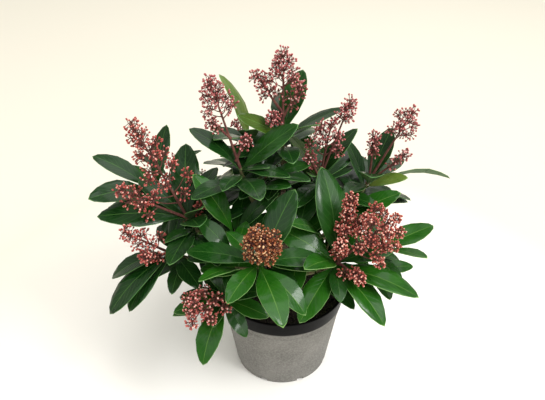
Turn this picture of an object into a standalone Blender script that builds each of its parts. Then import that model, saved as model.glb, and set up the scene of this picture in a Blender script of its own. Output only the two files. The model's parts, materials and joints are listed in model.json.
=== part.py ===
"""Potted skimmia: a compact evergreen shrub in bud, in a round nursery pot.

The pot stands on its flat underside, whose centre is the origin. +Z is up, +X is the shrub's right
and -Y its front. Lengths are metres and angles are degrees. A short trunk forks just above the
soil into tapering boughs. Each bough ends where it meets one mass of foliage, and a mass is a stem
with its own twigs, whorled leaves and budded flower head fused into one solid.
"""

import math
import random
from dataclasses import dataclass, replace

import bmesh
import bpy
from mathutils import Matrix, Vector
from mathutils.bvhtree import BVHTree

# ---- Driving dimensions -------------------------------------------------------------------------

FIT_GAP = 0.0003  # between neighbouring solids

POT_HEIGHT = 0.129
RIM_RADIUS = 0.085
COLLAR_HEIGHT = 0.022
COLLAR_FOOT_RADIUS = 0.0817
BODY_TOP_RADIUS = 0.0802
BASE_RADIUS = 0.0647
WALL = 0.0018
BASE_THICKNESS = 0.0025
LIP_THICKNESS = 0.0026
POT_SIDES = 36

DRAIN_SLOTS = 8
SLOT_WIDTH = 0.009
SLOT_RISE = 0.005
SLOT_DEPTH = 0.010

SOIL_TOP = 0.109
SOIL_CROWN = 0.002  # rise of the soil towards its middle

TRUNK_TIP = (0.001, 0.006, 0.160)
TRUNK_FOOT_RADIUS = 0.0115
TRUNK_RADIUS = 0.0085
TRUNK_TIP_RADIUS = 0.0062
TRUNK_SIDES = 12
TRUNK_FLARE = 0.007  # height of the root flare

BOUGH_SIDES = 5
BOUGH_STEPS = 4

STEM_TIP_RADIUS = 0.0020
STEM_BEND = 16.0  # degrees that a stem leans further out at its foot than at its whorl
STEM_SIDES = 5

LEAF_SHARE_WIDTH = 0.385  # width over length
LEAF_FOLD = 0.12  # rise of the edge over half the width
LEAF_KEEL = 0.0011  # depth of the midrib below the blade
PETIOLE_WIDTH = 0.0026
SET_LEAF_PROFILE = ((0.0, 0.085), (0.34, 0.78), (0.60, 1.0), (0.84, 0.60))  # (share of length, of width)
LEAF_PROFILE = ((0.0, 0.085), (0.44, 0.98), (0.76, 0.76))
BLADE_START = 0.14  # share of the length, below which leaves of one whorl may touch
LEAF_SINK = 0.0011  # distance of a leaf's root from its stem's axis
LEAF_ARCH = 0.07  # rise of the midrib's middle over the leaf's length

KNOT_LENGTH = 0.0140  # of a spray's knot of buds
KNOT_RADIUS = 0.0070
KNOT_WIDEST = 0.42  # of its length, from its tip
KNOT_SIDES = 3
STALK_RADIUS = 0.0008
SPIKE_RADII = (0.0018, 0.0011)
SPIKE_SINK = 0.003  # of a spike's foot in what it grows from
SPRAY_TURN = 14.0
SPRAY_REACHES = (0.80, 1.06)
SPRAY_SIZES = (0.84, 1.10)
SPRAY_RISES = (0.50, 1.35)  # over the reach, of the lowest and of the highest spray
SPRAY_DROP = 0.75  # share of its rise that a spray's foot stands below its place
SPRAY_TOP = 0.92  # height of the highest spray's place, over the spike's length

SEED = 1870
GOLDEN_ANGLE = 137.5
LEAN_SHARE = 0.6  # of its stem's tilt, in a leaf's climb
STEEPEST_LEAF = 38.0  # climb of a leaf that the rule grows

WHORL_CLIMB = 28.0  # of a whorl's highest leaf
WHORL_CLIMB_STEP = 4.0
WHORL_CLIMB_SPREAD = 6.0
WHORL_LENGTHS = (0.88, 1.10)
WHORL_PITCH = 0.0026  # between the roots of a whorl's leaves, down the stem
SET_LEAF_ROOM = (26.0, 30.0)  # azimuth and climb round a set leaf that the spiral leaves free

OLD_CLIMB = 12.0
OLD_CLIMB_SPREAD = 8.0
OLD_LENGTHS = (0.82, 1.00)
OLD_PLACE = 0.10  # of the older whorl's first leaf, down the stem's lower half
OLD_PITCH = 0.14

TWIG_PLACE = 0.15  # of the first side twig, down the stem's lower half
TWIG_PITCH = 0.35
TWIG_TURN = 20.0
TWIG_FORWARD = 0.75  # along the stem, against 1 outward
TWIG_LENGTHS = (0.030, 0.042)
TWIG_RADII = (0.0017, 0.0013)
TWIG_SIDES = 3
TUFT_LEAVES = 4  # on a side twig's tip
TUFT_CLIMB = 30.0
TUFT_CLIMB_STEP = 7.0
TUFT_CLIMB_SPREAD = 6.0
TUFT_LENGTHS = (0.68, 0.86)
TUFT_PLACE = 0.0010  # of the first leaf, back from the twig's tip
TUFT_PITCH = 0.0018

SPACE_RADIUS = 0.125  # of the room round a whorl that its mass keeps to
CLEARANCE = 0.0008  # between the leaves of neighbouring masses
TWIG_CLEARANCE = 0.0007
POT_CLEARANCE = 0.002


@dataclass
class Head:
    """One budded spike. Its first spray stands a bare share up, and it starts on the main spike."""

    lean: tuple  # azimuth, and tilt from upright
    length: float
    reach: float  # of the lowest sprays
    sprays: int
    bare: float = 0.25
    start: float = 0.0  # height above the whorl, along the first spike
    taper: float = 0.65  # share of the reach that the top sprays lose


@dataclass
class Shoot:
    """One mass. A set leaf is (azimuth, climb, length, roll), and the rule grows the others."""

    name: str
    whorl: tuple
    lean: tuple  # azimuth, and tilt from upright
    stem: float
    heads: tuple = ()
    set_leaves: tuple = ()
    leaves: int = 8
    old_leaves: int = 2
    twigs: int = 1
    leaf_length: float = 0.076


@dataclass
class Bough:
    """One tapering limb from a share of its parent's length to the foot of a shoot's stem."""

    name: str
    parent: str
    share: float
    shoot: str
    foot_radius: float = 0.0042
    tip_radius: float = 0.0027


SHOOTS = (
    Shoot(
        "top_spray", (-0.001, 0.020, 0.335), (95, 4), 0.070,
        heads=(
            Head((180, 0), 0.106, 0.021, 13, 0.62, taper=0.45),
            Head((190, 32), 0.062, 0.014, 7, 0.42, 0.028, 0.3),
            Head((5, 28), 0.048, 0.012, 4, 0.45, 0.022, 0.3),
            Head((225, 48), 0.030, 0.009, 3, 0.60, 0.012),
        ),
        set_leaves=((62, 52, 0.082), (-166, 33, 0.062, -30)),
    ),
    Shoot(
        "upper_left_spray", (-0.050, -0.020, 0.313), (168, 12), 0.060,
        heads=(
            Head((173, 16), 0.114, 0.022, 13, 0.62, taper=0.45),
            Head((0, 24), 0.032, 0.007, 2, 0.60, 0.012),
            Head((185, 46), 0.032, 0.008, 2, 0.60, 0.040),
        ),
        set_leaves=((164, 36, 0.072), (6, 40, 0.084, 30), (-27, 9, 0.062), (-108, 10, 0.056)),
    ),
    Shoot(
        "upper_back_spray", (-0.040, 0.035, 0.320), (130, 14), 0.050,
        set_leaves=((130, 50, 0.090, 25), (-93, 46, 0.060)),
        leaves=5, old_leaves=2, twigs=0, leaf_length=0.066,
    ),
    Shoot(
        "left_spray", (-0.111, -0.045, 0.261), (190, 24), 0.060,
        heads=(
            Head((184, 22), 0.136, 0.036, 25, 0.24, taper=0.75),
            Head((200, 54), 0.092, 0.018, 8, 0.50, taper=0.4),
            Head((-13, 44), 0.040, 0.010, 3, 0.40),
        ),
        set_leaves=((-167, 7, 0.100, -20), (96, 50, 0.092)),
    ),
    Shoot(
        "far_left_spray", (-0.158, -0.002, 0.276), (176, 42), 0.055,
        set_leaves=((167, 26, 0.080), (-137, 15, 0.084, -30), (74, 56, 0.080)),
        leaves=5, leaf_length=0.068,
    ),
    Shoot(
        "low_left_spray", (-0.133, -0.060, 0.222), (207, 50), 0.050,
        heads=(
            Head((208, 46), 0.072, 0.020, 9, 0.35),
            Head((228, 68), 0.044, 0.014, 5, 0.35),
        ),
        set_leaves=((-174, -14, 0.078), (-147, -22, 0.098), (-138, -36, 0.082), (-55, -8, 0.062)),
        leaves=2,
    ),
    Shoot(
        "low_front_spray", (-0.070, -0.105, 0.192), (232, 58), 0.048,
        heads=(
            Head((229, 74), 0.054, 0.024, 13, 0.20, taper=0.3),
        ),
        set_leaves=((-16, -14, 0.056), (-49, -36, 0.050), (-112, -38, 0.076)),
        leaves=6, leaf_length=0.060, old_leaves=2,
    ),
    Shoot(
        "front_spray", (-0.028, -0.120, 0.255), (258, 34), 0.060,
        heads=(Head((300, 18), 0.048, 0.021, 15, 0.30, taper=0.25),),
        set_leaves=(
            (169, 3, 0.078), (-118, -4, 0.062), (-71, -14, 0.078), (15, -6, 0.072), (-40, -27, 0.070),
            (50, 50, 0.090), (140, 28, 0.054),
        ),
        leaves=0,
    ),
    Shoot(
        "right_front_spray", (0.060, -0.085, 0.228), (-38, 40), 0.060,
        heads=(
            Head((-16, 38), 0.088, 0.034, 22, 0.42, taper=0.35),
            Head((50, 14), 0.084, 0.013, 7, 0.45),
            Head((-58, 84), 0.046, 0.012, 4, 0.45),
            Head((-92, 30), 0.056, 0.012, 4, 0.45),
        ),
        set_leaves=(
            (107, 57, 0.108), (161, 24, 0.080, -25), (-126, -27, 0.078), (-92, -16, 0.052), (-50, -21, 0.088),
            (-24, -5, 0.102),
        ),
    ),
    Shoot(
        "upper_right_spray", (0.044, 0.005, 0.285), (15, 16), 0.060,
        heads=(
            Head((10, 18), 0.108, 0.012, 6, 0.74, taper=0.3),
            Head((-20, 8), 0.078, 0.024, 10, 0.50, taper=0.3),
            Head((212, 26), 0.044, 0.010, 3, 0.45),
        ),
        set_leaves=((29, 53, 0.074), (147, 47, 0.068), (-60, -11, 0.060), (-119, 0, 0.060)),
    ),
    Shoot(
        "far_right_spray", (0.106, 0.020, 0.271), (8, 24), 0.060,
        heads=(
            Head((7, 26), 0.108, 0.020, 10, 0.66, taper=0.3),
            Head((0, 2), 0.070, 0.010, 4, 0.60),
            Head((-10, 44), 0.064, 0.008, 3, 0.60),
        ),
        set_leaves=(
            (52, 48, 0.074), (6, 1, 0.106, -38), (-127, 16, 0.056), (-25, 28, 0.056, 20), (128, 56, 0.066),
        ),
    ),
    Shoot(
        "low_right_spray", (0.118, -0.034, 0.205), (-14, 62), 0.050,
        set_leaves=((22, 13, 0.078), (-48, 24, 0.074)),
        leaves=6, leaf_length=0.068,
    ),
    Shoot(
        "middle_spray", (-0.004, 0.078, 0.246), (88, 16), 0.055,
        heads=(Head((60, 14), 0.046, 0.018, 8, 0.30, taper=0.4),),
    ),
    Shoot(
        "inner_left_spray", (-0.058, -0.058, 0.248), (226, 24), 0.045,
        set_leaves=((156, 50, 0.082), (195, 14, 0.042)),
        leaf_length=0.070,
    ),
    Shoot("inner_front_spray", (0.016, -0.062, 0.246), (-70, 18), 0.045, leaf_length=0.072),
    Shoot(
        "inner_right_spray", (0.080, -0.016, 0.246), (-20, 26), 0.045,
        set_leaves=((3, 27, 0.066, 30),),
        leaf_length=0.070,
    ),
    Shoot(
        "right_back_spray", (0.108, 0.090, 0.222), (40, 38), 0.055,
        heads=(Head((40, 36), 0.074, 0.022, 7, 0.34),),
    ),
    Shoot(
        "back_spray", (0.040, 0.134, 0.226), (74, 38), 0.055,
        heads=(Head((72, 36), 0.076, 0.022, 7, 0.34),),
    ),
    Shoot(
        "left_back_spray", (-0.050, 0.120, 0.234), (112, 34), 0.055,
        heads=(Head((112, 34), 0.074, 0.022, 7, 0.34),),
    ),
    Shoot(
        "far_left_back_spray", (-0.108, 0.074, 0.218), (147, 44), 0.055,
        heads=(Head((147, 44), 0.070, 0.022, 7, 0.34),),
    ),
    Shoot("low_back_spray", (-0.006, 0.142, 0.186), (92, 62), 0.050, leaves=7, leaf_length=0.068),
)

BOUGHS = (
    Bough("leader", "trunk", 1.0, "top_spray", 0.0060, 0.0030),
    Bough("upper_left_bough", "leader", 0.42, "upper_left_spray"),
    Bough("upper_right_bough", "leader", 0.30, "upper_right_spray"),
    Bough("upper_back_bough", "leader", 0.58, "upper_back_spray", 0.0038),
    Bough("left_bough", "trunk", 0.45, "left_spray", 0.0045),
    Bough("low_left_bough", "left_bough", 0.45, "low_left_spray", 0.0036),
    Bough("inner_left_bough", "left_bough", 0.30, "inner_left_spray", 0.0034),
    Bough("front_bough", "trunk", 0.25, "front_spray", 0.0044),
    Bough("low_front_bough", "front_bough", 0.34, "low_front_spray", 0.0036),
    Bough("inner_front_bough", "front_bough", 0.52, "inner_front_spray", 0.0033),
    Bough("right_bough", "trunk", 0.54, "right_front_spray", 0.0045),
    Bough("inner_right_bough", "right_bough", 0.42, "inner_right_spray", 0.0033),
    Bough("low_right_bough", "right_bough", 0.30, "low_right_spray", 0.0035),
    Bough("right_back_bough", "trunk", 0.76, "far_right_spray", 0.0044),
    Bough("low_right_back_bough", "right_back_bough", 0.36, "right_back_spray", 0.0036),
    Bough("back_bough", "trunk", 0.36, "back_spray", 0.0045),
    Bough("middle_bough", "back_bough", 0.55, "middle_spray", 0.0034),
    Bough("low_back_bough", "back_bough", 0.34, "low_back_spray", 0.0036),
    Bough("left_back_bough", "trunk", 0.70, "far_left_back_spray", 0.0044),
    Bough("high_back_bough", "left_back_bough", 0.36, "left_back_spray", 0.0036),
    Bough("far_left_bough", "left_back_bough", 0.52, "far_left_spray", 0.0035),
)


# ---- Shapes as (points, faces) ------------------------------------------------------------------

def heading(azimuth, tilt):
    """The unit vector at an azimuth from +X towards +Y and a tilt from upright."""
    a = math.radians(azimuth)
    t = math.radians(tilt)
    return Vector((math.cos(a) * math.sin(t), math.sin(a) * math.sin(t), math.cos(t)))


def square_to(axis, near):
    """The unit vector square to the axis that lies nearest to another vector."""
    across = near - axis * near.dot(axis)
    if across.length < 1e-6:
        across = axis.orthogonal()
    return across.normalized()


def hermite(start, start_pull, end, end_pull, share):
    s2 = share * share
    s3 = s2 * share
    return (
        start * (2 * s3 - 3 * s2 + 1)
        + start_pull * (s3 - 2 * s2 + share)
        + end * (3 * s2 - 2 * s3)
        + end_pull * (s3 - s2)
    )


def tube(points, radii, sides):
    """A closed tapering limb along the points, its ends cut square. A last radius of 0 is a point."""
    rings = []
    side = Vector((1, 0, 0))
    pointed = radii[-1] == 0
    for index, point in enumerate(points[:-1] if pointed else points):
        before = points[max(index - 1, 0)]
        after = points[min(index + 1, len(points) - 1)]
        along = (after - before).normalized()
        side = square_to(along, side)
        up = along.cross(side)
        for step in range(sides):
            turn = math.tau * step / sides
            rings.append(point + (side * math.cos(turn) + up * math.sin(turn)) * radii[index])
    faces = [tuple(reversed(range(sides)))]
    last = len(rings) - sides
    for index in range(0, last, sides):
        for step in range(sides):
            a = index + step
            b = index + (step + 1) % sides
            faces.append((a, b, b + sides, a + sides))
    if pointed:
        rings.append(points[-1])
        for step in range(sides):
            faces.append((last + step, last + (step + 1) % sides, len(rings) - 1))
    else:
        faces.append(tuple(range(last, last + sides)))
    return rings, faces


def turned(profile, sides):
    """A profile of (radius, height) turned round the Z axis. It starts and ends on the axis."""
    points = [Vector((0, 0, profile[0][1]))]
    for radius, height in profile[1:-1]:
        for step in range(sides):
            turn = math.tau * step / sides
            points.append(Vector((radius * math.cos(turn), radius * math.sin(turn), height)))
    points.append(Vector((0, 0, profile[-1][1])))
    faces = []
    rings = len(profile) - 2
    for step in range(sides):
        after = (step + 1) % sides
        faces.append((0, 1 + after, 1 + step))
        for ring in range(rings - 1):
            a = 1 + ring * sides
            faces.append((a + step, a + after, a + sides + after, a + sides + step))
        last = 1 + (rings - 1) * sides
        faces.append((last + step, last + after, len(points) - 1))
    return points, faces


@dataclass
class Leaf:
    """A leaf by its root, its chord's azimuth and climb, its length, and its stem's axis."""

    root: Vector
    azimuth: float
    climb: float
    length: float
    axis: Vector
    is_set: bool = False
    roll: float = 0.0


def leaf_frame(leaf):
    """The chord, the blade's sideways direction and its upper normal."""
    chord = heading(leaf.azimuth, 90 - leaf.climb)
    upper = square_to(chord, leaf.axis * 0.3 + Vector((0, 0, 0.7)))
    upper = Matrix.Rotation(math.radians(leaf.roll), 3, chord) @ upper
    return chord, chord.cross(upper), upper


def leaf_shape(leaf, profile, swell=0.0):
    """A blade with a three-sided section: two edges, and the keel of the midrib below them."""
    chord, side, upper = leaf_frame(leaf)
    half = leaf.length * LEAF_SHARE_WIDTH / 2
    root = leaf.root + square_to(leaf.axis, chord) * LEAF_SINK
    points = []
    for share, width in profile:
        arch = LEAF_ARCH * 4 * share * (1 - share)
        spine = root + chord * (share * leaf.length) + upper * (arch * leaf.length)
        reach = max(half * width, PETIOLE_WIDTH / 2) + swell
        lift = upper * (LEAF_FOLD * reach + swell)
        points.append(spine + side * reach + lift)
        points.append(spine - side * reach + lift)
        points.append(spine - upper * (LEAF_KEEL + swell))
    points.append(root + chord * (leaf.length + swell))
    tip = len(points) - 1
    faces = [(0, 1, 2)]
    for ring in range(len(profile) - 1):
        a = ring * 3
        for step in range(3):
            after = (step + 1) % 3
            faces.append((a + step, a + 3 + step, a + 3 + after, a + after))
    a = tip - 3
    for step in range(3):
        faces.append((a + step, tip, a + (step + 1) % 3))
    return points, faces


def leaf_profile(leaf):
    return SET_LEAF_PROFILE if leaf.is_set else LEAF_PROFILE


def knotted(foot, tip, foot_radius, neck_radius, size=1.0):
    """A stalk that swells into a knot of buds and ends in a point. A short one has no neck."""
    length = (tip - foot).length
    knot = KNOT_LENGTH * size / length
    stations = [(0.0, foot_radius), (1 - knot, neck_radius), (1 - KNOT_WIDEST * knot, KNOT_RADIUS * size)]
    if knot > 1 / 1.8:
        stations.pop(1)
    points = [foot.lerp(tip, share) for share, _ in stations] + [tip]
    radii = [radius for _, radius in stations] + [0]
    return tube(points, radii, KNOT_SIDES)


# ---- The rule of growth -------------------------------------------------------------------------

def stem_points(shoot):
    """The stem's foot, middle and whorl. It leans further out at its foot."""
    whorl = Vector(shoot.whorl)
    azimuth, tilt = shoot.lean
    middle = whorl - heading(azimuth, tilt + STEM_BEND * 0.25) * (shoot.stem * 0.5)
    foot = middle - heading(azimuth, tilt + STEM_BEND * 0.75) * (shoot.stem * 0.5)
    return [foot, middle, whorl]


def head_ends(shoot, head):
    """The foot and the tip of a spike."""
    foot = Vector(shoot.whorl) + heading(*shoot.heads[0].lean) * head.start
    return foot, foot + heading(*head.lean) * head.length


def head_sprays(shoot, head, chance):
    """The (foot, tip, size) of each spray, up the spike in a spiral."""
    foot, tip = head_ends(shoot, head)
    axis = heading(*head.lean)
    side = axis.orthogonal().normalized()
    sprays = []
    for index in range(head.sprays):
        share = index / max(head.sprays - 1, 1)
        turn = math.radians(GOLDEN_ANGLE * index + chance.uniform(-SPRAY_TURN, SPRAY_TURN))
        outward = Matrix.Rotation(turn, 3, axis) @ side
        reach = head.reach * (1 - head.taper * share) * chance.uniform(*SPRAY_REACHES)
        rise = reach * (SPRAY_RISES[0] + (SPRAY_RISES[1] - SPRAY_RISES[0]) * share)
        along = head.length * (head.bare + (SPRAY_TOP - head.bare) * share)
        start = foot + axis * (along - rise * SPRAY_DROP)
        sprays.append((start, start + outward * reach + axis * rise, chance.uniform(*SPRAY_SIZES)))
    return sprays


def angle_between(first, second):
    """The unsigned difference of two azimuths."""
    return abs((first - second + 180) % 360 - 180)


def lean_towards(shoot, azimuth):
    """The part of the shoot's tilt, in degrees, that lies towards an azimuth."""
    return math.cos(math.radians(azimuth - shoot.lean[0])) * shoot.lean[1]


def near_set_leaf(azimuth, climb, set_leaf):
    across, up = SET_LEAF_ROOM
    return angle_between(azimuth, set_leaf[0]) < across and abs(climb - set_leaf[1]) < up


def whorl_leaves(shoot, chance):
    """Set leaves, then leaves in a spiral wherever a set leaf doesn't already point."""
    whorl = Vector(shoot.whorl)
    axis = heading(*shoot.lean)
    leaves = []
    for index, (azimuth, climb, length, *roll) in enumerate(shoot.set_leaves):
        root = whorl - axis * (WHORL_PITCH * index)
        leaves.append(Leaf(root, azimuth, climb, length, axis, True, *roll))
    turn = chance.uniform(0, 360)
    for index in range(shoot.leaves):
        turn += GOLDEN_ANGLE
        around = turn % 360
        climb = WHORL_CLIMB - WHORL_CLIMB_STEP * index
        climb += chance.uniform(-WHORL_CLIMB_SPREAD, WHORL_CLIMB_SPREAD)
        climb = min(climb - lean_towards(shoot, around) * LEAN_SHARE, STEEPEST_LEAF)
        if any(near_set_leaf(around, climb, leaf) for leaf in shoot.set_leaves):
            continue
        length = shoot.leaf_length * chance.uniform(*WHORL_LENGTHS)
        root = whorl - axis * (WHORL_PITCH * (0.5 + index))
        leaves.append(Leaf(root, around, climb, length, axis))
    return leaves


def lower_leaves(shoot, chance):
    """The older whorl lower on the stem."""
    foot, middle, _ = stem_points(shoot)
    axis = heading(*shoot.lean)
    turn = chance.uniform(0, 360)
    leaves = []
    for index in range(shoot.old_leaves):
        turn += GOLDEN_ANGLE
        around = turn % 360
        climb = OLD_CLIMB - lean_towards(shoot, around) * LEAN_SHARE
        climb += chance.uniform(-OLD_CLIMB_SPREAD, OLD_CLIMB_SPREAD)
        root = middle.lerp(foot, OLD_PLACE + OLD_PITCH * index)
        length = shoot.leaf_length * chance.uniform(*OLD_LENGTHS)
        leaves.append(Leaf(root, around, climb, length, axis))
    return leaves


def twig_shoots(shoot, chance):
    """Each side twig's two ends, and the tuft of leaves on its tip."""
    foot, middle, _ = stem_points(shoot)
    axis = heading(*shoot.lean)
    side = axis.orthogonal().normalized()
    turn = chance.uniform(0, 360)
    twigs = []
    for index in range(shoot.twigs):
        turn += GOLDEN_ANGLE + chance.uniform(-TWIG_TURN, TWIG_TURN)
        outward = Matrix.Rotation(math.radians(turn), 3, axis) @ side
        direction = (axis * TWIG_FORWARD + outward).normalized()
        start = middle.lerp(foot, TWIG_PLACE + TWIG_PITCH * index)
        tip = start + direction * chance.uniform(*TWIG_LENGTHS)
        tuft = []
        spin = chance.uniform(0, 360)
        for step in range(TUFT_LEAVES):
            spin += GOLDEN_ANGLE
            climb = TUFT_CLIMB - TUFT_CLIMB_STEP * step
            climb += chance.uniform(-TUFT_CLIMB_SPREAD, TUFT_CLIMB_SPREAD)
            length = shoot.leaf_length * chance.uniform(*TUFT_LENGTHS)
            root = tip - direction * (TUFT_PLACE + TUFT_PITCH * step)
            tuft.append(Leaf(root, spin % 360, climb, length, direction))
        twigs.append((start, tip, tuft))
    return twigs


# ---- Room in the crown --------------------------------------------------------------------------

SMALL_TURNS = ((0, 0), (0, 5), (0, -5), (5, 0), (-5, 0), (6, 6), (-6, 6), (0, 10), (0, -10))
WIDE_TURNS = SMALL_TURNS + ((14, 0), (-14, 0), (14, 10), (-14, 10), (0, 18), (0, -18), (22, 8), (-22, 8))


class Room:
    """All that stands in the crown, so that a new leaf or twig can be tried against it."""

    def __init__(self):
        self.standing = []

    def add(self, owner, shape, outer=None):
        """The outer shape is what leaves of the same mass keep clear of."""
        self.standing.append((owner, tree_of(shape), tree_of(outer or shape), ball_of(shape)))

    def free(self, owner, swollen, outer):
        centre, radius = ball_of(swollen)
        whole = tree_of(swollen)
        blade = tree_of(outer)
        for other, other_whole, other_outer, (there, reach) in self.standing:
            if (centre - there).length > radius + reach:
                continue
            if other != owner and whole.overlap(other_whole):
                return False
            if other == owner and blade.overlap(other_outer):
                return False
        return True


def tree_of(shape):
    """A search tree of the shape. A bent four-sided face is taken along both of its diagonals."""
    points, faces = shape
    triangles = []
    for face in faces:
        first = face[0]
        triangles += [(first, b, c) for b, c in zip(face[1:], face[2:])]
        if len(face) == 4:
            triangles += [face[:2] + face[3:], face[1:]]
    return BVHTree.FromPolygons(points, triangles)


def ball_of(shape):
    points = shape[0]
    centre = sum(points, Vector()) / len(points)
    return centre, max((p - centre).length for p in points)


def outer_blade(leaf):
    """The blade without its root, which may stand among its neighbours' roots."""
    root, first, *rest = leaf_profile(leaf)
    width = root[1] + (first[1] - root[1]) * BLADE_START / first[0]
    return leaf_shape(leaf, [(BLADE_START, width), first, *rest])


def try_leaf(room, owner, leaf, whorl, turns):
    """The leaf at the first turn that finds room, or None."""
    for turn, lift in turns:
        tried = replace(leaf, azimuth=leaf.azimuth + turn, climb=leaf.climb + lift)
        swollen = leaf_shape(tried, leaf_profile(tried), CLEARANCE)
        if (swollen[0][-1] - whorl).length > SPACE_RADIUS:
            continue
        outer = outer_blade(tried)
        if room.free(owner, swollen, outer):
            room.add(owner, leaf_shape(tried, leaf_profile(tried)), outer)
            return tried
    return None


# ---- Objects ------------------------------------------------------------------------------------

def clear_scene():
    for obj in list(bpy.data.objects):
        bpy.data.objects.remove(obj)


def plain_material(name, colour, roughness):
    material = bpy.data.materials.new(name)
    material.use_nodes = True
    shader = material.node_tree.nodes["Principled BSDF"]
    shader.inputs["Base Color"].default_value = (*colour, 1.0)
    shader.inputs["Roughness"].default_value = roughness
    return material


def object_of(name, shape, material, collection=None):
    """An object of a shape, its faces turned outward."""
    mesh = bpy.data.meshes.new(name)
    mesh.from_pydata([tuple(p) for p in shape[0]], [], shape[1])
    turn = bmesh.new()
    turn.from_mesh(mesh)
    bmesh.ops.recalc_face_normals(turn, faces=turn.faces)
    turn.to_mesh(mesh)
    turn.free()
    mesh.materials.append(material)
    obj = bpy.data.objects.new(name, mesh)
    (collection or bpy.context.scene.collection).objects.link(obj)
    return obj


def apply_boolean(obj, operation, collection, solver):
    """Applies one Boolean with a collection, then removes the collection and its objects."""
    modifier = obj.modifiers.new("Join", "BOOLEAN")
    modifier.operation = operation
    modifier.operand_type = "COLLECTION"
    modifier.collection = collection
    modifier.solver = solver
    bpy.context.view_layer.update()
    graph = bpy.context.evaluated_depsgraph_get()
    made = bpy.data.meshes.new_from_object(obj.evaluated_get(graph))
    obj.modifiers.clear()
    obj.data = made
    for helper in list(collection.objects):
        bpy.data.objects.remove(helper)
    bpy.data.collections.remove(collection)


def helper_collection(name):
    collection = bpy.data.collections.new(name)
    bpy.context.scene.collection.children.link(collection)
    return collection


def keep_largest_shell(obj):
    """Drops loose scraps, and fills sealed hollows by removing their inner shells."""
    work = bmesh.new()
    work.from_mesh(obj.data)
    unseen = set(work.verts)
    shells = []
    while unseen:
        shell = set()
        front = [unseen.pop()]
        while front:
            vert = front.pop()
            shell.add(vert)
            for edge in vert.link_edges:
                other = edge.other_vert(vert)
                if other in unseen:
                    unseen.remove(other)
                    front.append(other)
        shells.append(shell)
    shells.sort(key=len)
    for shell in shells[:-1]:
        bmesh.ops.delete(work, geom=list(shell), context="VERTS")
    work.to_mesh(obj.data)
    work.free()


def shade(obj, angle=40):
    obj.data.shade_smooth()
    obj.data.set_sharp_from_angle(angle=math.radians(angle))


# ---- Pot and soil -------------------------------------------------------------------------------

def wall_radius(height):
    """The body's outer radius at a height, below its collar."""
    share = height / (POT_HEIGHT - COLLAR_HEIGHT)
    return BASE_RADIUS + (BODY_TOP_RADIUS - BASE_RADIUS) * share


def build_pot(material):
    """A thin tapered shell with a collar, and slots where wall and base meet."""
    shoulder = POT_HEIGHT - COLLAR_HEIGHT
    outer = (
        (0, 0),
        (BASE_RADIUS - 0.0015, 0),
        (BASE_RADIUS, 0.0012),
        (BODY_TOP_RADIUS, shoulder - 0.0006),
        (COLLAR_FOOT_RADIUS, shoulder),
        (RIM_RADIUS - 0.0006, POT_HEIGHT - 0.0030),
        (RIM_RADIUS, POT_HEIGHT - 0.0012),
        (RIM_RADIUS - 0.0007, POT_HEIGHT),
    )
    inner = (
        (RIM_RADIUS - LIP_THICKNESS, POT_HEIGHT),
        (COLLAR_FOOT_RADIUS - WALL, shoulder + 0.0015),
        (BODY_TOP_RADIUS - WALL, shoulder - 0.0010),
        (wall_radius(BASE_THICKNESS) - WALL, BASE_THICKNESS),
        (0, BASE_THICKNESS),
    )
    pot = object_of("pot", turned(outer + inner, POT_SIDES), material)
    slots = helper_collection("drain_slots")
    for index in range(DRAIN_SLOTS):
        turn = Matrix.Rotation(math.tau * (index + 0.5) / DRAIN_SLOTS, 4, "Z")
        cutter = object_of(f"slot_{index}", box_shape(turn), material, slots)
        cutter.hide_render = True
        cutter.display_type = "WIRE"
    apply_boolean(pot, "DIFFERENCE", slots, "EXACT")
    shade(pot)
    return pot


def box_shape(turn):
    """A drain slot's cutter: a block across the bottom corner, turned round the pot."""
    near = BASE_RADIUS - SLOT_DEPTH
    far = BASE_RADIUS + SLOT_DEPTH
    points = []
    for x in (near, far):
        for y in (-SLOT_WIDTH / 2, SLOT_WIDTH / 2):
            for z in (-SLOT_RISE, SLOT_RISE):
                points.append(turn @ Vector((x, y, z)))
    faces = [(0, 1, 3, 2), (4, 6, 7, 5), (0, 4, 5, 1), (2, 3, 7, 6), (0, 2, 6, 4), (1, 5, 7, 3)]
    return points, faces


def build_soil(material):
    """The compost fills the pot to below its rim, with a slightly raised middle."""
    lower = BASE_THICKNESS + FIT_GAP
    inside = WALL + 2 * FIT_GAP
    profile = (
        (0, lower),
        (wall_radius(lower) - inside, lower),
        (BODY_TOP_RADIUS - inside, SOIL_TOP),
        (TRUNK_FOOT_RADIUS * 1.6, SOIL_TOP + SOIL_CROWN),
        (0, SOIL_TOP + SOIL_CROWN),
    )
    soil = object_of("soil", turned(profile, POT_SIDES), material)
    shade(soil)
    return soil


# ---- Trunk and boughs ---------------------------------------------------------------------------

def trunk_line():
    """The trunk's points and radii, from its flat foot on the soil to the fork."""
    foot = Vector((0, 0, SOIL_TOP + SOIL_CROWN + FIT_GAP))
    tip = Vector(TRUNK_TIP)
    flare = foot + Vector((0, 0, TRUNK_FLARE))
    points = [foot, foot + Vector((0, 0, TRUNK_FLARE * 0.35)), flare, flare.lerp(tip, 0.5), tip]
    middle_radius = (TRUNK_RADIUS + TRUNK_TIP_RADIUS) / 2
    radii = [TRUNK_FOOT_RADIUS, TRUNK_FOOT_RADIUS * 0.87, TRUNK_RADIUS, middle_radius, TRUNK_TIP_RADIUS]
    return points, radii


def point_along(points, share):
    """The point and direction at a share of a polyline's length."""
    lengths = [(b - a).length for a, b in zip(points, points[1:])]
    left = share * sum(lengths)
    for index, length in enumerate(lengths):
        if left <= length or index == len(lengths) - 1:
            direction = (points[index + 1] - points[index]).normalized()
            return points[index] + direction * min(left, length), direction
        left -= length
    return points[-1], direction


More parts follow.
